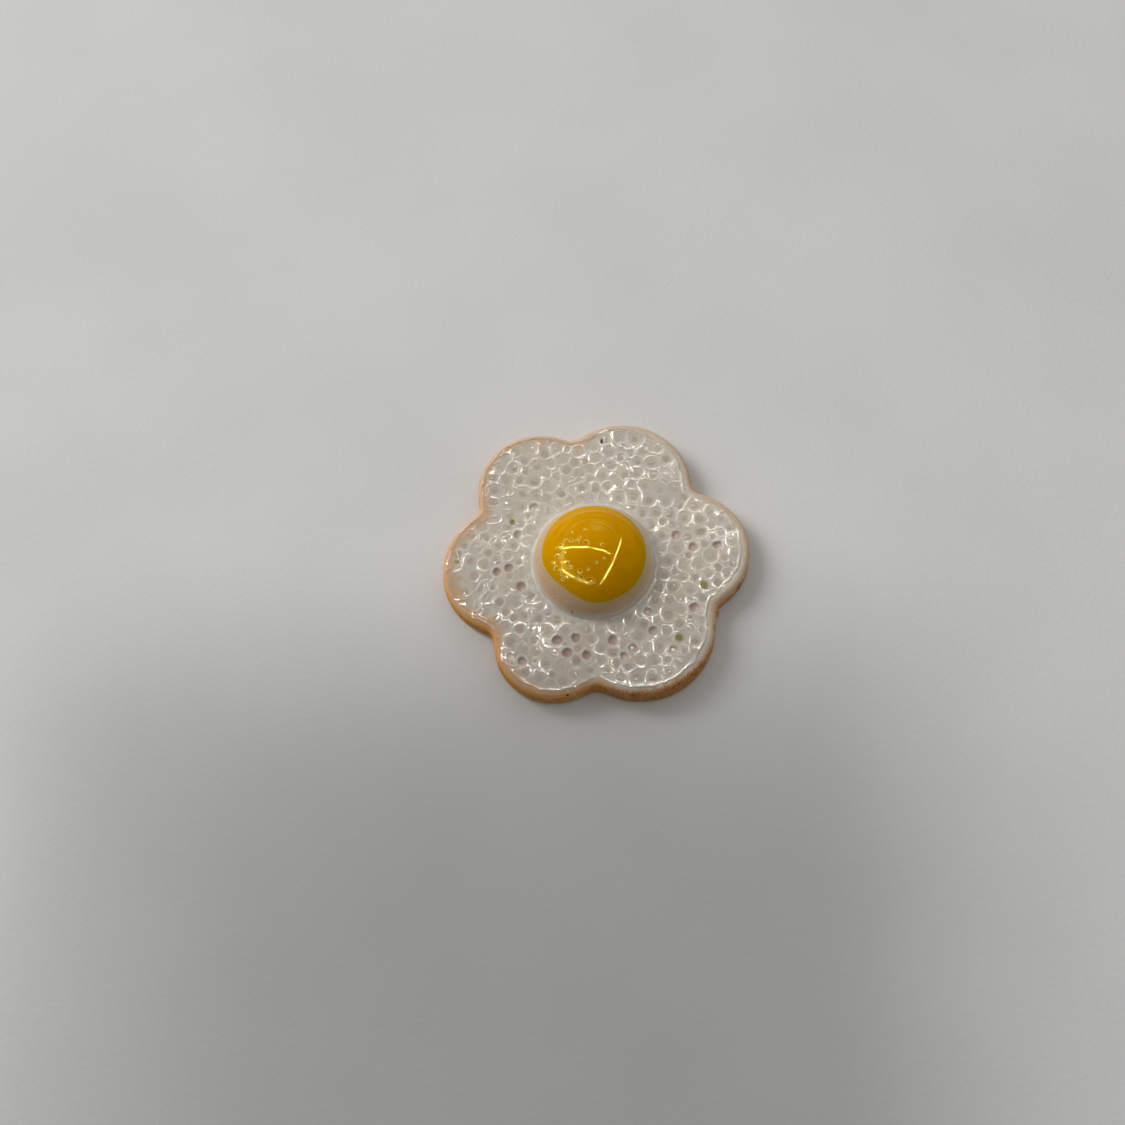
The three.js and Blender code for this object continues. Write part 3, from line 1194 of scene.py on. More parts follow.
    def make(self) -> bpy.types.Material:
        """Builds the material."""
        graph = Graph("glazed_white_resin")
        place = graph.place()
        base = self.sprayed(graph, place, self.resin(graph, place))
        pebble = graph.mottle(place, self.pebble)
        rough, hole, satin = (graph.stored(name) for name in ("rough", "hole", "satin"))
        return graph.finish(
            {
                "Base Color": self.stained(graph, place, base),
                "Roughness": 0.3 + 0.3 * rough + 0.1 * pebble,
                "Specular IOR Level": 0.03,
                "Subsurface Weight": 0.3,
                "Subsurface Radius": (1.0, 0.75, 0.55),
                "Subsurface Scale": 0.3 * METRES,
                "Coat Weight": (1.0 - rough) * (1.0 - 0.9 * hole) * (1.0 - 0.85 * satin),
                "Coat Roughness": 0.07,
                "Coat IOR": 1.5,
                "Normal": graph.bump(rough * pebble, self.pebble_height),
            }
        )


@dataclass(frozen=True)
class YolkFinish:
    """Clear glossy coat over golden resin with faint brush arcs and painted glints on the rims of its
    bubbles.
    """

    gold: Colour = (0.70, 0.315, 0.0)
    bright: Colour = (0.80, 0.38, 0.0)
    amber: Colour = (0.59, 0.225, 0.002)
    verge: Colour = (0.60, 0.34, 0.0)
    # rim: pale gold of the brush arcs, and of the painted glints on the bubbles' rims.
    rim: Colour = (0.95, 0.72, 0.14)
    centre: Point = (0.05, -0.55, 0.0)

    cloud: Mottle = Mottle(2.6, 3.0, 5.0, 0.35, 0.75)
    fleck: Mottle = Mottle(0.5, 4.0, 9.0, 0.5, 0.75)
    dimple: Mottle = Mottle(0.3, 2.0, 2.0)
    bright_tint: float = 0.6
    amber_tint: float = 0.25
    brush_tint: float = 0.3
    edge_tint: float = 0.5
    glint_tint: Span = (0.6, 0.9)
    rings: float = 4.5
    arcs: float = 1.1
    streak_edge: Span = (0.5, 0.72)
    brush_start: Span = (0.6, 2.6)
    dimple_height: float = 0.0006

    def brush(self, graph: Graph, place: Signal) -> Signal:
        """Fine streaks that run round the yolk's middle.

        Args:
            graph: The material's node tree.
            place: The place, in millimetres.

        Returns:
            1 on a streak and 0 beside it.
        """
        offset = graph.vector("SUBTRACT", place, self.centre)
        x, y = (graph.add("ShaderNodeSeparateXYZ", {}, {0: offset}, axis) for axis in ("X", "Y"))
        away = (x * x + y * y) ** 0.5
        turn = graph.math("ARCTAN2", y, x)
        polar = graph.add("ShaderNodeCombineXYZ", {}, {"X": away * self.rings, "Y": turn * self.arcs})
        streaks = graph.add("ShaderNodeTexNoise", {}, {"Vector": polar, "Scale": 1.0, "Detail": 3.0})
        return graph.ramp(streaks, *self.streak_edge) * graph.ramp(y, *self.brush_start)

    def make(self) -> bpy.types.Material:
        """Builds the material."""
        graph = Graph("glazed_golden_resin")
        place = graph.place()
        clouds = graph.patches(graph.mottle(place, self.cloud), self.cloud)
        fleck = graph.mottle(place, self.fleck)
        edge = graph.stored("edge")
        least, further = self.glint_tint
        base = graph.blend(clouds * self.bright_tint, self.gold, self.bright)
        base = graph.blend(graph.patches(fleck, self.fleck) * self.amber_tint, base, self.amber)
        base = graph.blend(self.brush(graph, place) * self.brush_tint, base, self.rim)
        base = graph.blend(edge * self.edge_tint, base, self.verge)
        # Painted highlight: pale glints on the bubbles' rims, brighter on one side of each.
        base = graph.blend(graph.stored("rim") * (least + further * fleck), base, self.rim)
        return graph.finish(
            {
                "Base Color": base,
                "Roughness": 0.2 + 0.15 * fleck,
                "Specular IOR Level": 0.0,
                "Subsurface Weight": 0.2,
                "Subsurface Radius": (1.0, 0.5, 0.1),
                "Subsurface Scale": 0.6 * METRES,
                "Coat Weight": 0.6 - 0.5 * edge,
                "Coat Roughness": 0.042,
                "Coat IOR": 1.5,
                "Normal": graph.bump(graph.mottle(place, self.dimple), self.dimple_height),
            }
        )


@dataclass(frozen=True)
class PaperFinish:
    """Pale matt paper with a faint fibre."""

    pale: Colour = (0.80, 0.795, 0.785)
    shaded: Colour = (0.76, 0.757, 0.75)
    cloud: Mottle = Mottle(25.0, 3.0, 0.0, 0.3, 0.7)
    fibre: Mottle = Mottle(0.5, 4.0, 4.0)
    fibre_height: float = 0.03

    def make(self) -> bpy.types.Material:
        """Builds the material."""
        graph = Graph("pale_paper")
        place = graph.place()
        clouds = graph.patches(graph.mottle(place, self.cloud), self.cloud)
        fibre = graph.mottle(place, self.fibre)
        return graph.finish(
            {
                "Base Color": graph.blend(clouds, self.pale, self.shaded),
                "Roughness": 0.8 + 0.1 * fibre,
                "Specular IOR Level": 0.2,
                "Normal": graph.bump(fibre, self.fibre_height),
            }
        )


# ---------------------------------------------------------------- pieces


def beside(angles: np.ndarray, heading: float) -> np.ndarray:
    """Cosine of the turn from a heading, in degrees, to each direction, and 0 beyond a right angle."""
    return np.maximum(np.cos(angles - math.radians(heading)), 0.0)


@dataclass(frozen=True)
class Airbrush:
    """Where the rim is sprayed, and where shade is painted along its foot and outer line: headings in
    degrees, lengths along its section from the wall's top.
    """

    gold_heading: float = 232.0
    gold_and_shade_foot: float = 0.75
    foot_fade: Span = (-0.1, 0.35)
    gold_start: float = 0.1
    gold_climb: Span = (0.8, 0.5)
    gold_lift: float = 240.0
    gold_swell: Swell = Swell(1.6, 87.5, 0.25)
    front_heading: float = 298.0
    brown_heading: float = 297.0
    brown_slope: Span = (2.2, 1.2)
    brown_climb: Span = (0.2, 0.8)
    brown_fade: Span = (-0.5, 0.4)
    # The foot's band: brown spray together with painted contact shade, strongest towards the front.
    foot_shade_fade: Span = (-1.75, -1.1)
    foot_shade_heading: float = 265.0
    foot_shade_share: Span = (0.4, 0.6)
    foot_shade_turn: Span = (-0.2, 0.6)
    # The outermost line: brown spray together with painted shade along the silhouette, most on the left
    # and on the far lobes.
    outline_shade_heading: float = 180.0
    outline_shade_share: Span = (0.66, 0.14)
    outline_shade_lift: Span = (-0.05, 0.36)
    outline_shade_lift_heading: float = 75.0
    verge_width: float = 0.35
    wash_heading: float = 190.0
    wash_share: Span = (0.85, 0.15)
    wash_climb: Span = (1.3, 0.9)
    wash_lift: float = 180.0
    wash_swell: Swell = Swell(3.0, 83.5, 0.5)
    field_fade: Span = (8.5, 10.0)

    def golden(self, points: np.ndarray, angles: np.ndarray, climb: np.ndarray) -> np.ndarray:
        """How golden each point is.

        Args:
            points: One row of x, y and z for each.
            angles: Their directions from the origin.
            climb: How far they lie along the section from the wall's top.

        Returns:
            Numbers from 0 to 1.
        """
        # Gold round the wall's lowest part all round is spray together with painted shade at its foot.
        low = 1.0 - smooth(climb, *self.foot_fade)
        amount = np.maximum(np.sqrt(beside(angles, self.gold_heading)), self.gold_and_shade_foot * low)
        least, further = self.gold_climb
        end = least + further * beside(angles, self.gold_lift) + self.gold_swell.over(points)
        return amount * (1.0 - smooth(climb, self.gold_start, end))

    def browned_and_shaded(self, angles: np.ndarray, climb: np.ndarray) -> np.ndarray:
        """How brown each point is: brown spray on the front of the rim, brown spray with painted
        contact shade along its foot all round, strongest at the front, and brown spray with painted
        shade along its outermost line.

        Args:
            angles: Directions of the points from the origin.
            climb: How far they lie along the section from the wall's top.

        Returns:
            Numbers from 0 to 1.
        """
        gap = np.minimum(np.radians(angle_gap(angles, self.front_heading)), 0.25 * math.pi)
        front = np.maximum(np.cos(2 * gap), 0.0)
        end = self.brown_climb[0] + self.brown_climb[1] * front**2
        slope, drop = self.brown_slope
        amount = np.clip(slope * np.cos(angles - math.radians(self.brown_heading)) - drop, 0.0, 1.0)
        # Painted contact shade with the spray: the foot is darker all round, most at the front.
        turned = smooth(np.cos(angles - math.radians(self.foot_shade_heading)), *self.foot_shade_turn)
        foot = 1.0 - smooth(climb, *self.foot_shade_fade)
        foot *= self.foot_shade_share[0] + self.foot_shade_share[1] * turned
        # Painted shade with the spray: the outermost line is darker, and reaches higher on the far
        # lobes.
        lift = self.outline_shade_lift[1] * np.sqrt(beside(angles, self.outline_shade_lift_heading))
        lift += self.outline_shade_lift[0]
        verge = self.outline_shade_share[0] + self.outline_shade_share[1] * beside(angles, self.outline_shade_heading)
        verge *= 1.0 - smooth(climb - lift, 0.0, self.verge_width)
        crust_and_shade = np.maximum(amount * (1.0 - smooth(climb - end, *self.brown_fade)), verge)
        return np.maximum(crust_and_shade, foot)

    def washed(self, points: np.ndarray, angles: np.ndarray, climb: np.ndarray) -> np.ndarray:
        """How much of the thin tan wash lies on each point.

        Args:
            points: One row of x, y and z for each.
            angles: Their directions from the origin.
            climb: How far they lie along the section from the wall's top.

        Returns:
            Numbers from 0 to 1.
        """
        least, further = self.wash_climb
        fade = least + further * beside(angles, self.wash_lift) + self.wash_swell.over(points)
        turned = np.cos(angles - math.radians(self.wash_heading))
        share = self.wash_share[0] + self.wash_share[1] * turned
        return share * (1.0 - smooth(climb, 0.5 * fade, fade))


@dataclass(frozen=True)
class EggWhite:
    """The white: a slab with a rounded rim, a frothy top and a smooth dome that carries the yolk."""

    outline: Outline
    dome: Dome
    froth: Froth
    finish: WhiteFinish
    airbrush: Airbrush = Airbrush()
    thickness: float = 2.4
    rim_round: float = 0.65
    rim_draft: float = 0.1
    foot_round: float = 0.35
    foot_steps: int = 3
    wall_steps: int = 7
    shoulder_steps: int = 7
    sides: int = 480
    dome_sides: int = 240
    crown_inset: float = 0.35
    pitch: float = 0.0655
    coarse_pitch: float = 0.15
    edge_margin: float = 0.6
    first_cut: float = 0.5
    merge_distance: float = 1e-7
    fillet_steps: int = 5
    flank_steps: int = 10
    dish_steps: int = 6
    corner_share: float = 0.99
    coat_inset: float = 0.68
    coat_lean: float = 0.34
    coat_heading: float = -15.0
    coat_step: float = 0.035
    coat_near: float = 0.6
    coat_swells: tuple[Swell, ...] = (Swell(1.2, 41.5, 0.2), Swell(0.5, 43.5, 0.12))
    coat_fine: float = 0.2
    coat_fade: Span = (-0.09, -0.03)
    bare_fade: Span = (-0.1, 0.0)
    bare_width: float = 0.12
    field_fade: Span = (-0.05, 0.25)
    field_foot: float = 0.5
    bead_height: float = 0.075
    bead_width: float = 0.12
    bead_swell: Swell = Swell(1.9, 47.5)
    bead_fade: Span = (-0.3, 0.2)
    bead_share: Span = (0.75, 0.35)
    swell_height: float = 0.03
    low_swells: tuple[Swell, ...] = (Swell(2.6, 3.5), Swell(1.1, 8.5, 0.6))
    ridge_height: float = 0.056
    ridge_swell: Swell = Swell(1.2, 21.5)
    ridge_fade: Span = (-0.4, 0.3)
    ridge_share: Span = (0.6, 0.6)
    warp_reach: float = 0.06
    warp_swells: tuple[Swell, ...] = (Swell(0.9, 31.5), Swell(0.9, 57.5))
    rim_wobble: float = 0.035
    rim_swells: tuple[Swell, ...] = (Swell(2.1, 12.5), Swell(0.7, 2.5, 0.5))
    rim_slant: Span = (5.0, -4.0)
    rim_calm: Span = (0.8, 0.2)
    moat_fade: Span = (-0.5, 0.0)
    moat_end: Span = (0.2, 1.2)
    flank_heading: float = 240.0
    flank_turn: Span = (0.05, 0.5)
    flank_rise: Span = (0.1, 1.3)
    verge_width: float = 0.45
    speckle_heading: float = 225.0
    speckle_turn: Span = (0.6, 0.9)
    blobs: tuple[Point, ...] = (
        (10.1, -9.8, 0.3),
        (13.4, 5.0, 0.22),
        (11.3, 3.1, 0.22),
        (2.7, -12.9, 0.2),
        (1.4, -12.6, 0.18),
        (-10.4, 9.4, 0.2),
    )
    blob_steepness: float = 0.42
    flash_heading: float = -24.3
    flash_width: float = 1.2
    flash_reach: float = 0.35

    def shoulder_drop(self, depth: np.ndarray) -> np.ndarray:
        """How far the rounded top edge lies below the slab's top at a distance inside the outline."""
        short = np.clip(self.rim_draft + self.rim_round - depth, 0.0, self.rim_round)
        return self.rim_round - np.sqrt(self.rim_round**2 - short**2)

    def top(self, laid: Pits, places: np.ndarray) -> tuple[np.ndarray, dict[str, np.ndarray]]:
        """Heights of the frothy top.

        Args:
            laid: The pits.
            places: One row of x and y for each place.

        Returns:
            The heights, and the numbers that the finish reads.
        """
        depth = self.outline.depth(places)
        away = self.dome.outside(places)
        line = self.coat_line(places, depth)
        field_share = smooth(line, *self.field_fade) * smooth(away, 0.0, self.field_foot)
        values = self.froth.relief(laid, places + self.warp(places), depth)
        bead = self.bead_height * np.exp(-(((line - self.bead_width) / self.bead_width) ** 2))
        least, further = self.bead_share
        bead *= least + further * smooth(self.bead_swell.over(places), *self.bead_fade)
        bare = 1.0 - smooth(line, *self.bare_fade)
        bare *= smooth(depth, self.crown_inset, self.crown_inset + self.bare_width)
        low = sum(waves.over(places) for waves in self.low_swells)
        least, further = self.ridge_share
        strength = least + further * smooth(self.ridge_swell.over(places), *self.ridge_fade)
        height = self.thickness - self.shoulder_drop(depth) + bead - self.coat_step * bare
        height += field_share * self.swell_height * low
        height += field_share * self.ridge_height * strength * values["ridge"] - values["sink"]
        for x, y, radius in self.blobs:
            away = np.hypot(places[:, 0] - x, places[:, 1] - y) / radius
            height += self.blob_steepness * radius * np.exp(-(away**2))
        kept = {name: values[name] for name in ("disc", "hole", "halo")}
        kept["ridge"] = values["ridge"] * field_share
        kept["rough"] = 1.0 - smooth(line, *self.coat_fade)
        return height, kept

    def coat_line(self, places: np.ndarray, depth: np.ndarray) -> np.ndarray:
        """How far inside the coat's wavy edge each place lies.

        Args:
            places: One row of x and y for each place.
            depth: How far inside the outline each place is.

        Returns:
            Distances, below 0 where the resin is bare.
        """
        turn = bearing(places) - math.radians(self.coat_heading)
        line = depth - self.coat_inset - self.coat_lean * np.cos(turn)
        near = np.abs(line) < self.coat_near
        line[near] -= sum(waves.over(places[near]) for waves in self.coat_swells)
        return line

    def build(self) -> bpy.types.Object:
        """Builds the mesh.

        Returns:
            The white, undressed.
        """
        laid = self.froth.lay_out()
        log.info("%d pits", len(laid.radii))
        draft = MeshDraft()
        rim = draft.stack(self.rim_rings())
        crown = draft.points()[rim[-1], :2]
        around = circle(self.dome_sides)
        foot = self.dome.ring(around, self.dome.foot(around), self.thickness)[:, :2]
        grid = self.lattice(laid)
        flat = np.concatenate([crown, foot, grid])
        height, values = self.top(laid, flat)
        base = int(rim[-1][0])
        draft.add(np.column_stack([flat, height])[len(crown) :])
        self.triangulate(draft, flat, base, len(crown), len(foot))
        foot_numbers = np.arange(len(foot)) + base + len(crown)
        rings = self.dome_rings(around)
        first = draft.stack(rings)
        draft.bridge(foot_numbers, first[0])
        lowest = self.dome.ring(np.zeros(1), 0.0, self.thickness + self.dome.dish_height)
        draft.cap(first[-1], lowest, upward=True)
        draft.cap(rim[0], np.zeros(3), upward=False)
        return draft.make("egg_white_glazed", self.values(draft, base, values))

    def rim_rings(self) -> list[np.ndarray]:
        """Rings of the rim, from the underside's edge to the crown."""
        angles = circle(self.sides)
        section = []
        foot = self.foot_round
        for turn in np.linspace(0.0, 0.5 * math.pi, self.foot_steps + 1):
            section.append((foot * (1 - math.sin(turn)), foot * (1 - math.cos(turn))))
        top = self.thickness - self.rim_round
        for share in np.arange(1, self.wall_steps) / self.wall_steps:
            section.append((self.rim_draft * share, foot + (top - foot) * share))
        last = math.asin(1 - (self.crown_inset - self.rim_draft) / self.rim_round)
        for turn in np.linspace(0.5 * math.pi, last, self.shoulder_steps + 1):
            inset = self.rim_draft + self.rim_round * (1 - math.sin(turn))
            section.append((inset, top + self.rim_round * math.cos(turn)))
        rings = []
        for inset, height in section:
            flat = self.outline.points(angles, inset)
            pairs = zip(self.rim_swells, self.rim_slant)
            wobble = self.rim_wobble * sum(waves.over(flat + slant * height) for waves, slant in pairs)
            flash = angle_gap(angles, self.flash_heading) / self.flash_width
            wobble -= self.flash_reach * np.exp(-(flash**2))
            top_calm, foot_calm = self.rim_calm
            wobble *= smooth(np.array(self.thickness - height), 0.0, top_calm)
            wobble *= smooth(np.array(height), 0.0, foot_calm)
            flat = flat + self.outline.inward(angles) * wobble[:, None]
            rings.append(np.column_stack([flat, np.full(self.sides, height)]))
        return rings

    def dome_rings(self, around: np.ndarray) -> list[np.ndarray]:
        """Rings of the fillet, the flank and the dish, from the field inward.

        Args:
            around: Directions from the dome's axis, in radians.

        Returns:
            One array of points for each ring.
        """
        rings = []
        fillet = self.dome.foot(around) - self.dome.radius
        for turn in np.linspace(0.0, 0.5 * math.pi, self.fillet_steps + 1)[1:]:
            radius = self.dome.radius + fillet * (1 - math.sin(turn))
            rise = self.dome.fillet * (1 - math.cos(turn))
            rings.append(self.dome.ring(around, radius, self.thickness + rise))
        edge = self.dome.yolk_reach(around)
        shares = (np.arange(1, self.flank_steps) / self.flank_steps) ** 2
        for share in (*shares, self.corner_share, 1.0):
            radius = self.dome.radius + (edge - self.dome.radius) * share
            rings.append(self.dome.ring(around, radius, self.thickness + self.dome.rise(radius)))
        return rings + self.dome.dish(around, self.thickness, 0.0, self.dish_steps)[1:]

    def lattice(self, laid: Pits) -> np.ndarray:
        """Places of the top's points between the crown and the dome's foot, closer along the ridges.

        Args:
            laid: The pits.

        Returns:
            One row of x and y for each place.
        """
        close, open_ = self.hexes(self.pitch), self.hexes(self.coarse_pitch)
        kept = []
        for places, wanted in ((close, True), (open_, False)):
            depth = self.outline.depth(places)
            line = self.coat_line(places, depth)
            froth = self.froth.relief(laid, places + self.warp(places), depth)["fine"]
            fine = (froth & (line > 0.0)) | (np.abs(line) < self.coat_fine)
            kept.append(places[fine == wanted])
        return np.concatenate(kept)

    def hexes(self, pitch: float) -> np.ndarray:
        """A hexagonal lattice of places on the top, between the crown and the dome's foot.

        Args:
            pitch: The distance between neighbours.

        Returns:
            One row of x and y for each place.
        """
        reach = max(lobe.reach for lobe in self.outline.lobes)
        rows = np.arange(-reach, reach, pitch * math.sqrt(0.75))
        columns = np.arange(-reach, reach, pitch)
        row, column = np.meshgrid(np.arange(len(rows)), columns, indexing="ij")
        places = np.stack([(column + 0.5 * pitch * (row % 2)).ravel(), rows[row].ravel()], 1)
        margin = self.edge_margin * pitch
        places = places[self.dome.outside(places) > margin]
        places = places[np.hypot(*places.T) < self.outline.reach(bearing(places)) - self.first_cut]
        return places[self.outline.depth(places) > self.crown_inset + margin]

    def warp(self, places: np.ndarray) -> np.ndarray:
        """How far the froth's pattern is pulled aside at each place, so that its edges wander."""
        return self.warp_reach * np.stack([waves.over(places) for waves in self.warp_swells], 1)

    def triangulate(self, draft: MeshDraft, flat: np.ndarray, base: int, crown: int, foot: int) -> None:
        """Fills the field between the crown and the dome's foot with triangles.

        Args:
            draft: The mesh, which already holds the points from base on.
            flat: Places of those points, the crown's ring first and the foot's ring next.
            base: Number of the first of them in the mesh.
            crown: How many points the crown's ring has.
            foot: How many points the foot's ring has.
        """
        edges = [(i, (i + 1) % crown) for i in range(crown)]
        edges += [(crown + i, crown + (i + 1) % foot) for i in range(foot)]
        corners = [Vector(place) for place in flat.tolist()]
        result = delaunay_2d_cdt(corners, edges, [], 0, self.merge_distance)
        made = np.array([tuple(point) for point in result[0]])
        origin = np.array([first[0] for first in result[3]])
        faces = np.array(result[2])
        corners = made[faces]
        one, two = corners[:, 1] - corners[:, 0], corners[:, 2] - corners[:, 0]
        right = one[:, 0] * two[:, 1] - one[:, 1] * two[:, 0] < 0
        numbers = origin[faces]
        numbers[right] = numbers[right][:, ::-1]
        first = numbers.argmin(1)[:, None]
        numbers = np.take_along_axis(numbers, (first + np.arange(3)) % 3, 1)
        backward = numbers[:, 1] > numbers[:, 2]
        outside = (numbers < crown).all(1) & backward
        under_dome = ((numbers >= crown) & (numbers < crown + foot)).all(1)
        draft.faces += [tuple(face) for face in (numbers[~outside & ~under_dome] + base).tolist()]

    def values(self, draft: MeshDraft, base: int, top: dict[str, np.ndarray]) -> dict[str, np.ndarray]:
        """Numbers that the finish reads at each point of the whole mesh.

        Args:
            draft: The finished mesh.
            base: Number of the top's first point.
            top: The numbers of the top's points.

        Returns:
            Arrays by name.
        """
        points = draft.points()
        angles = bearing(points)
        dome_start = base + len(top["disc"])
        whole = {}
        for name, numbers in top.items():
            whole[name] = np.zeros(len(points))
            whole[name][base:dome_start] = numbers
        whole["rough"][:base] = 1.0
        whole["satin"] = (np.arange(len(points)) >= dome_start).astype(float)
        whole.update(self.dome_values(points, whole["satin"]))
        climb = self.climb(points)
        outer = smooth(self.dome.away(points), *self.airbrush.field_fade)
        whole["golden"] = outer * self.airbrush.golden(points, angles, climb)
        whole["browned_and_shaded"] = outer * self.airbrush.browned_and_shaded(angles, climb)
        whole["washed"] = outer * self.airbrush.washed(points, angles, climb)
        return whole

    def dome_values(self, points: np.ndarray, on_dome: np.ndarray) -> dict[str, np.ndarray]:
        """Numbers that tint the dome's flank and the moat round its foot.

        Args:
            points: One row of x, y and z for each.
            on_dome: 1 at each point of the dome and 0 elsewhere.

        Returns:
            Arrays by name.
        """
        height = points[:, 2]
        turn = self.dome.turn(points)
        gap = self.dome.outside(points)
        moat = smooth(gap, *self.moat_fade) * (1.0 - smooth(gap, *self.moat_end))
        below, beside_it = (
            smooth(0.5 + 0.5 * np.cos(turn - math.radians(heading)), *span)
            for heading, span in (
                (self.flank_heading, self.flank_turn),
                (self.speckle_heading, self.speckle_turn),
            )
        )
        low, high = self.flank_rise
        rise = on_dome * smooth(height, self.thickness + low, self.thickness + high)
        past_yolk = self.dome.away(points) - self.dome.yolk_reach(turn)
        return {
            "moat": moat * (height > self.thickness - self.moat_end[0]),
            "flank": rise * (0.5 + 0.5 * below),
            "flank_low": 1.0 - smooth(past_yolk, 0.0, self.verge_width),
            "speckled": rise * beside_it,
        }

    def climb(self, points: np.ndarray) -> np.ndarray:
        """How far each point lies along the section from the top of the wall, below 0 on the wall.

        Args:
            points: One row of x, y and z for each point.

        Returns:
            One length for each point.
        """
        wall = self.thickness - self.rim_round
        depth = self.outline.depth(points[:, :2])
        short = np.clip((self.rim_draft + self.rim_round - depth) / self.rim_round, 0.0, 1.0)
        over = self.rim_round * (0.5 * math.pi - np.arcsin(short))
        beyond = np.maximum(depth - self.rim_draft - self.rim_round, 0.0)
        return np.where(points[:, 2] < wall, points[:, 2] - wall, over + beyond)

    def dress(self, piece: bpy.types.Object) -> None:
        """Gives the white its finish and seats it."""
        piece.data.materials.append(self.finish.make())
        seat(piece, "egg_white")


class MarkKind(Enum):
    """A small mark in the yolk's coat: the height of its middle, and its ring's height and place."""

    BUBBLE = (0.055, 0.0, 1.0)
    RING = (-0.05, 0.04, 0.75)
    DOT = (-0.05, 0.015, 0.8)


@dataclass(frozen=True)
class Mark:
    """One mark in the yolk's coat, placed from the dome's centre."""

    x: float
    y: float
    radius: float
    kind: MarkKind = MarkKind.BUBBLE
    stretch: float = 1.0


@dataclass(frozen=True)
class Yolk:
    """The yolk: the dome's golden cap, with small trapped bubbles in its coat."""

    dome: Dome
    finish: YolkFinish
    thickness: float = 2.4
    sides: int = 400
    cap_steps: int = 110
    under_steps: int = 8
    edge_width: float = 1.2
    edge_tint: float = 0.8
    tuck: Span = (0.03, 0.02)
    waves: tuple[Swell, ...] = (Swell(0.9, 4.5, 0.003), Swell(0.35, 6.5, 0.0006))
    ring_width: float = 0.25
    # The painted glints on the marks' rims: their width, their strength and their brighter side.
    glint_width: float = 0.05
    glint_share: Span = (0.15, 0.85)
    glint_turn: float = 7.0
    glint_fade: Span = (-0.4, 0.4)
    marks: tuple[Mark, ...] = (
        Mark(-2.78, 0.80, 0.2),
        Mark(-2.28, 0.85, 0.22),
        Mark(-1.68, 0.57, 0.2),
        Mark(-1.49, 1.0, 0.2),
        Mark(-0.79, 0.41, 0.3, MarkKind.RING),
        Mark(-0.89, 1.83, 0.14),
        Mark(-2.09, 1.74, 0.12),
        Mark(0.79, 0.2, 0.16),
        Mark(-2.66, -1.51, 0.2),
        Mark(-2.36, -1.94, 0.16),
        Mark(-2.16, -1.95, 0.14),
        Mark(0.2, -1.61, 0.14, MarkKind.DOT),
        Mark(-0.59, -2.24, 0.12, MarkKind.DOT),
        Mark(-1.37, -2.44, 0.22, MarkKind.RING),
        Mark(-1.28, -3.05, 0.24, MarkKind.RING),
        Mark(-0.39, -3.35, 0.3, MarkKind.RING, 1.8),
        Mark(-2.96, -0.46, 0.24),
        Mark(-3.66, -0.66, 0.2),
        Mark(-3.96, -1.21, 0.2),
        Mark(-3.76, -1.84, 0.22),
        Mark(-3.45, -2.27, 0.2),
        Mark(-3.15, -2.5, 0.16),
        Mark(-3.57, 0.06, 0.2),
        Mark(-3.27, 0.44, 0.22),
        Mark(-3.05, -2.98, 0.16),
        Mark(-2.76, -2.92, 0.18),
        Mark(0.98, -1.24, 0.1),
    )

    def marks_relief(self, places: np.ndarray) -> tuple[np.ndarray, np.ndarray]:
        """What the marks do at each place.

        Args:
            places: One row of x and y for each place.

        Returns:
            The height that they add, and how strong the painted glint on their rims is, from 0 to 1.
        """
        total = np.zeros(len(places))
        pale = np.zeros(len(places))
        least, further = self.glint_share
        for mark in self.marks:
            middle, ring, where = mark.kind.value
            along = (places[:, 0] - self.dome.centre[0] - mark.x) / (mark.radius * mark.stretch)
            across = (places[:, 1] - self.dome.centre[1] - mark.y) / mark.radius
            share = np.hypot(along, across)
            total += middle * np.maximum(1.0 - share**2, 0.0) ** 1.5
            total += ring * np.exp(-(((share - where) / self.ring_width) ** 2))
            # Painted highlight: each rim is painted paler, and brighter on one side.
            turned = np.sin(np.arctan2(across, along) + self.glint_turn * mark.x)
            lit = least + further * smooth(turned, *self.glint_fade)
            rim = np.exp(-(((share - 1.0) * mark.radius / self.glint_width) ** 2))
            pale = np.maximum(pale, lit * rim)
        return total, pale

    def build(self) -> bpy.types.Object:
        """Builds the mesh.

        Returns:
            The yolk, undressed.
        """
        around = circle(self.sides)
        edge = self.dome.yolk_reach(around)
        under = self.dome.dish(around, self.thickness, self.dome.seam, self.under_steps)[1:][::-1]
        draft = MeshDraft()
        rings = list(under)
        back, down = self.tuck
        tucked = self.thickness + self.dome.rise(edge) - down + self.dome.seam
        rings.append(self.dome.ring(around, edge - back, tucked))
        rims = [np.zeros(self.sides)] * len(rings)
        for step in range(self.cap_steps):
            share = math.cos(step / self.cap_steps * 0.5 * math.pi)
            radius = edge * share
            ring = self.dome.ring(around, radius, self.thickness + self.dome.rise(radius))
            lift = self.dome.seam * smooth(edge - radius, 0.0, self.edge_width)
            relief, rim = self.marks_relief(ring[:, :2])
            ring[:, 2] += lift + sum(waves.over(ring) for waves in self.waves) + relief
            rings.append(ring)
            rims.append(rim)
        numbers = draft.stack(rings)
        seat_height = self.thickness + self.dome.dish_height + self.dome.seam
        draft.cap(numbers[0], self.dome.ring(np.zeros(1), 0.0, seat_height), upward=False)
        peak = self.thickness + self.dome.height + self.dome.seam
        draft.cap(numbers[-1], self.dome.ring(np.zeros(1), 0.0, peak), upward=True)
        points = draft.points()
        inset = self.dome.yolk_reach(self.dome.turn(points)) - self.dome.away(points)
        # rim: the painted glints on the bubbles' rims.
        rim = np.zeros(len(points))
        rim[: len(rims) * self.sides] = np.concatenate(rims)
        verge = 1.0 - smooth(inset, 0.0, self.edge_tint)
        return draft.make("yolk_glazed", {"edge": verge, "rim": rim})

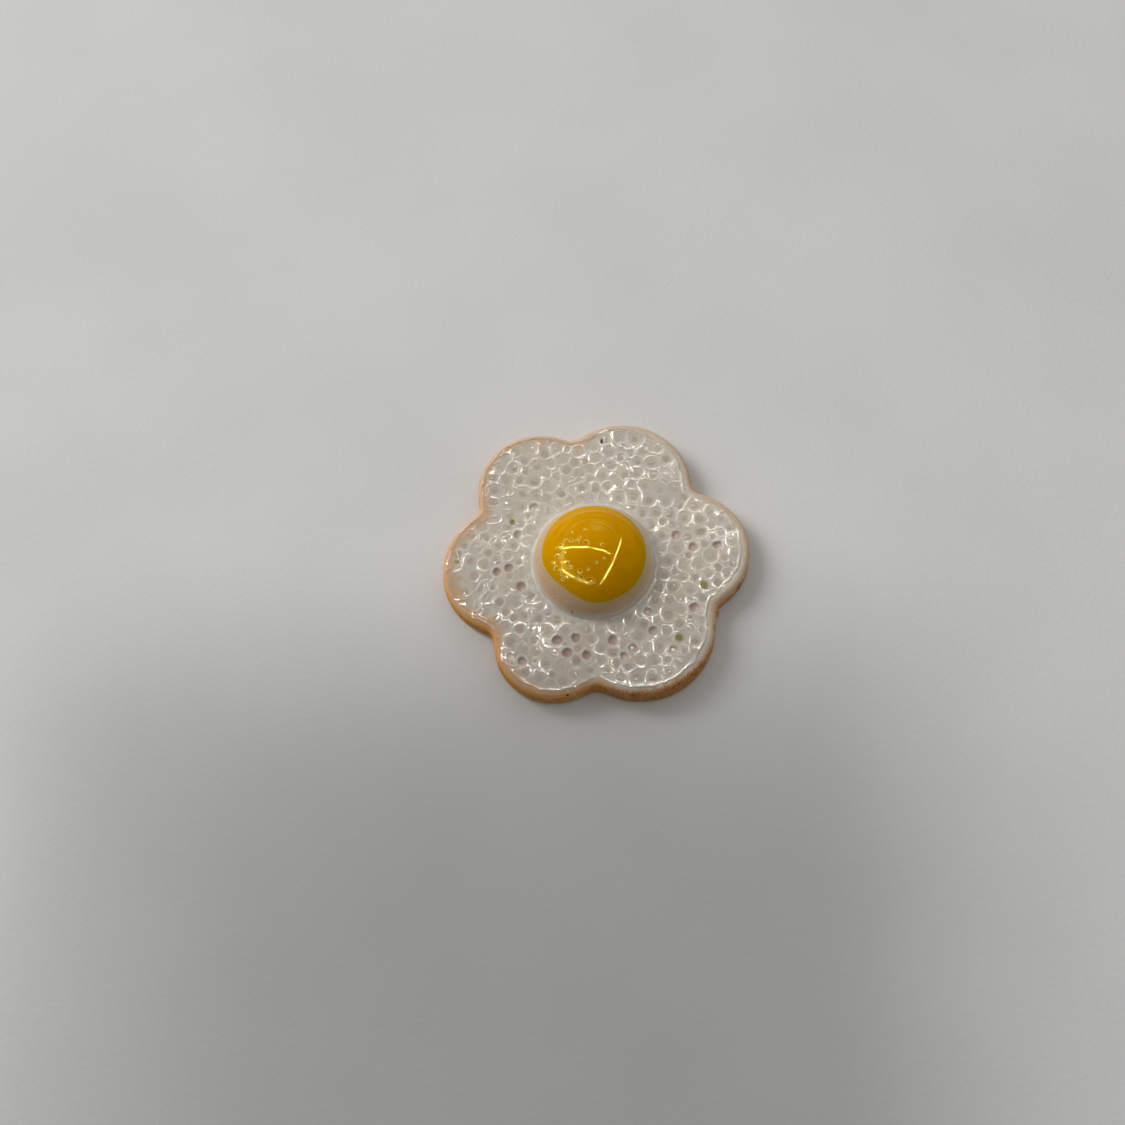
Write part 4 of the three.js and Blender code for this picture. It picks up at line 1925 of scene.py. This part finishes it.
    def dress(self, piece: bpy.types.Object) -> None:
        """Gives the yolk its finish and seats it."""
        piece.data.materials.append(self.finish.make())
        seat(piece, "yolk")


# ---------------------------------------------------------------- studio


@dataclass(frozen=True)
class Strip:
    """A thin bright light that shows only in reflections, between two places at the same height."""

    start: Place
    end: Place
    radiance: float


@dataclass(frozen=True)
class Studio:
    """Paper floor, soft light, thin strips for the glints and the camera."""

    paper: PaperFinish
    floor_size: float = 900.0
    floor_drop: float = 0.02
    camera_distance: float = 117.0
    camera_elevation: float = 69.0
    camera_pan: float = 1.579
    camera_tilt: float = 0.117
    sensor: float = 36.0
    lens: float = 36.0
    soft_place: Point = (-670.0, 300.0, 560.0)
    soft_size: float = 480.0
    soft_power: float = 4.7
    fill: Colour = (0.365, 0.365, 0.355)
    fill_lean: float = 0.85
    shade_height: float = 31.0
    shade_low: Place = (-81.0, -155.0)
    shade_high: Place = (0.0, 4.3)
    strip_height: float = 250.0
    white_width: float = 4.0
    yolk_width: float = 1.5
    white_tint: Colour = (1.0, 0.97, 0.9)
    yolk_tint: Colour = (1.0, 0.9, 0.14)
    white_strips: tuple[Strip, ...] = (
        Strip((-290.0, 250.0), (170.0, 300.0), 430.0),
        Strip((200.0, 255.0), (140.0, -70.0), 850.0),
        Strip((140.0, -95.0), (-160.0, -95.0), 480.0),
        Strip((-190.0, -80.0), (-200.0, 230.0), 600.0),
    )
    yolk_strips: tuple[Strip, ...] = (
        Strip((-248.0, 138.0), (100.0, 61.0), 450.0),
        Strip((218.0, 254.0), (43.0, -155.0), 450.0),
        Strip((-229.0, 105.0), (-248.0, -43.0), 750.0),
        Strip((-248.0, -43.0), (-102.0, -140.0), 750.0),
        Strip((-102.0, -140.0), (7.0, -143.0), 750.0),
    )

    def lay_floor(self) -> bpy.types.Object:
        """Lays the paper and gives it."""
        half = 0.5 * self.floor_size
        floor = sheet("paper_floor", (-half, -half), (half, half), -self.floor_drop)
        floor.data.materials.append(self.paper.make())
        return floor

    def area(self, name: str, place: Vector, size: Place, power: float) -> bpy.types.Object:
        """Hangs a rectangular light that faces straight down.

        Args:
            name: Its name.
            place: Where it hangs, in millimetres.
            size: Its length along x and its width along y.
            power: Its power in watts.

        Returns:
            The light.
        """
        data = bpy.data.lights.new(name, "AREA")
        data.shape = "RECTANGLE"
        data.size, data.size_y = size[0] * METRES, size[1] * METRES
        data.energy = power
        made = in_scene(name, data)
        made.location = place * METRES
        return made

    def group(self, name: str, members: list[bpy.types.Object]) -> bpy.types.Collection:
        """A collection that is only a list of the objects that a light reaches or is blocked by.

        Args:
            name: Its name.
            members: The objects on the list.

        Returns:
            The collection.
        """
        made = bpy.data.collections.new(name)
        for member in members:
            made.objects.link(member)
        return made

    def hang_shade(self) -> bpy.types.Object:
        """Hangs a card that nothing but the soft light sees, and that shades the front of the floor."""
        card = sheet("shade_card", self.shade_low, self.shade_high, self.shade_height)
        for ray in ("camera", "diffuse", "glossy", "transmission", "volume_scatter"):
            setattr(card, "visible_" + ray, False)
        return card

    def light(self, floor: bpy.types.Object, white: bpy.types.Object, yolk: bpy.types.Object) -> None:
        """Hangs the lights and sets the fill.

        Args:
            floor: The paper.
            white: The white.
            yolk: The yolk.
        """
        self.fill_room()
        place = Vector(self.soft_place)
        soft = self.area("soft_box", place, (self.soft_size, self.soft_size), self.soft_power)
        soft.rotation_euler = place.to_track_quat("Z", "Y").to_euler()
        soft.visible_glossy = False
        pieces = self.group("pieces", [white, yolk])
        blockers = self.group("soft_blockers", [white, yolk, floor, self.hang_shade()])
        soft.light_linking.blocker_collection = blockers
        for owner, strips, width, tint in (
            (white, self.white_strips, self.white_width, self.white_tint),
            (yolk, self.yolk_strips, self.yolk_width, self.yolk_tint),
        ):
            receivers = self.group(owner.name + "_only", [owner])
            for index, strip in enumerate(strips):
                made = self.strip(f"{owner.name}_strip_{index + 1}", strip, width)
                made.data.color = tint
                made.light_linking.receiver_collection = receivers
                made.light_linking.blocker_collection = pieces

    def fill_room(self) -> None:
        """Sets soft light from all round, stronger from the back and not seen in reflections."""
        world = bpy.data.worlds.new("soft_fill")
        bpy.context.scene.world = world
        world.use_nodes = True
        tree = world.node_tree
        tree.nodes["Background"].inputs["Color"].default_value = (*self.fill, 1.0)
        direction = tree.nodes.new("ShaderNodeTexCoord")
        axes = tree.nodes.new("ShaderNodeSeparateXYZ")
        lean = tree.nodes.new("ShaderNodeMath")
        lean.operation = "MULTIPLY_ADD"
        lean.inputs[1].default_value = self.fill_lean
        lean.inputs[2].default_value = 1.0
        tree.links.new(direction.outputs["Generated"], axes.inputs[0])
        tree.links.new(axes.outputs["Y"], lean.inputs[0])
        tree.links.new(lean.outputs[0], tree.nodes["Background"].inputs["Strength"])
        world.cycles_visibility.glossy = False
        world.cycles.sampling_method = "NONE"

    def strip(self, name: str, strip: Strip, width: float) -> bpy.types.Object:
        """Hangs one strip that shows only in reflections.

        Args:
            name: The light's name.
            strip: Where it runs and how bright its face is.
            width: Its width in millimetres.

        Returns:
            The light.
        """
        start, end = Vector(strip.start), Vector(strip.end)
        middle = 0.5 * (start + end)
        length = (end - start).length
        power = strip.radiance * math.pi * length * width * METRES**2
        made = self.area(name, Vector((middle.x, middle.y, self.strip_height)), (length, width), power)
        made.rotation_euler = (0.0, 0.0, math.atan2(end.y - start.y, end.x - start.x))
        made.visible_diffuse = False
        return made

    def aim_camera(self) -> None:
        """Sets the camera."""
        data = bpy.data.cameras.new("camera")
        data.sensor_width = self.sensor
        data.lens = self.lens
        data.clip_start = METRES
        camera = in_scene("camera", data)
        facing = Matrix.Rotation(math.radians(90.0 - self.camera_elevation), 4, "X")
        camera.location = facing @ Vector((0.0, 0.0, self.camera_distance * METRES))
        pan = Matrix.Rotation(math.radians(self.camera_pan), 4, "Y")
        tilt = Matrix.Rotation(math.radians(self.camera_tilt), 4, "X")
        camera.rotation_euler = (facing @ pan @ tilt).to_euler()
        bpy.context.scene.camera = camera
        bpy.context.scene.view_settings.view_transform = "Standard"


def main() -> None:
    """Builds the charm piece by piece, then the studio round it."""
    outline = Outline()
    dome = Dome()
    white = EggWhite(outline, dome, Froth(outline, dome), WhiteFinish())
    white_piece = white.build()
    white.dress(white_piece)
    yolk = Yolk(dome, YolkFinish())
    yolk_piece = yolk.build()
    yolk.dress(yolk_piece)
    studio = Studio(PaperFinish())
    studio.light(studio.lay_floor(), white_piece, yolk_piece)
    studio.aim_camera()


if __name__ == "__main__":
    logging.basicConfig(level=logging.INFO, format="%(message)s")
    main()
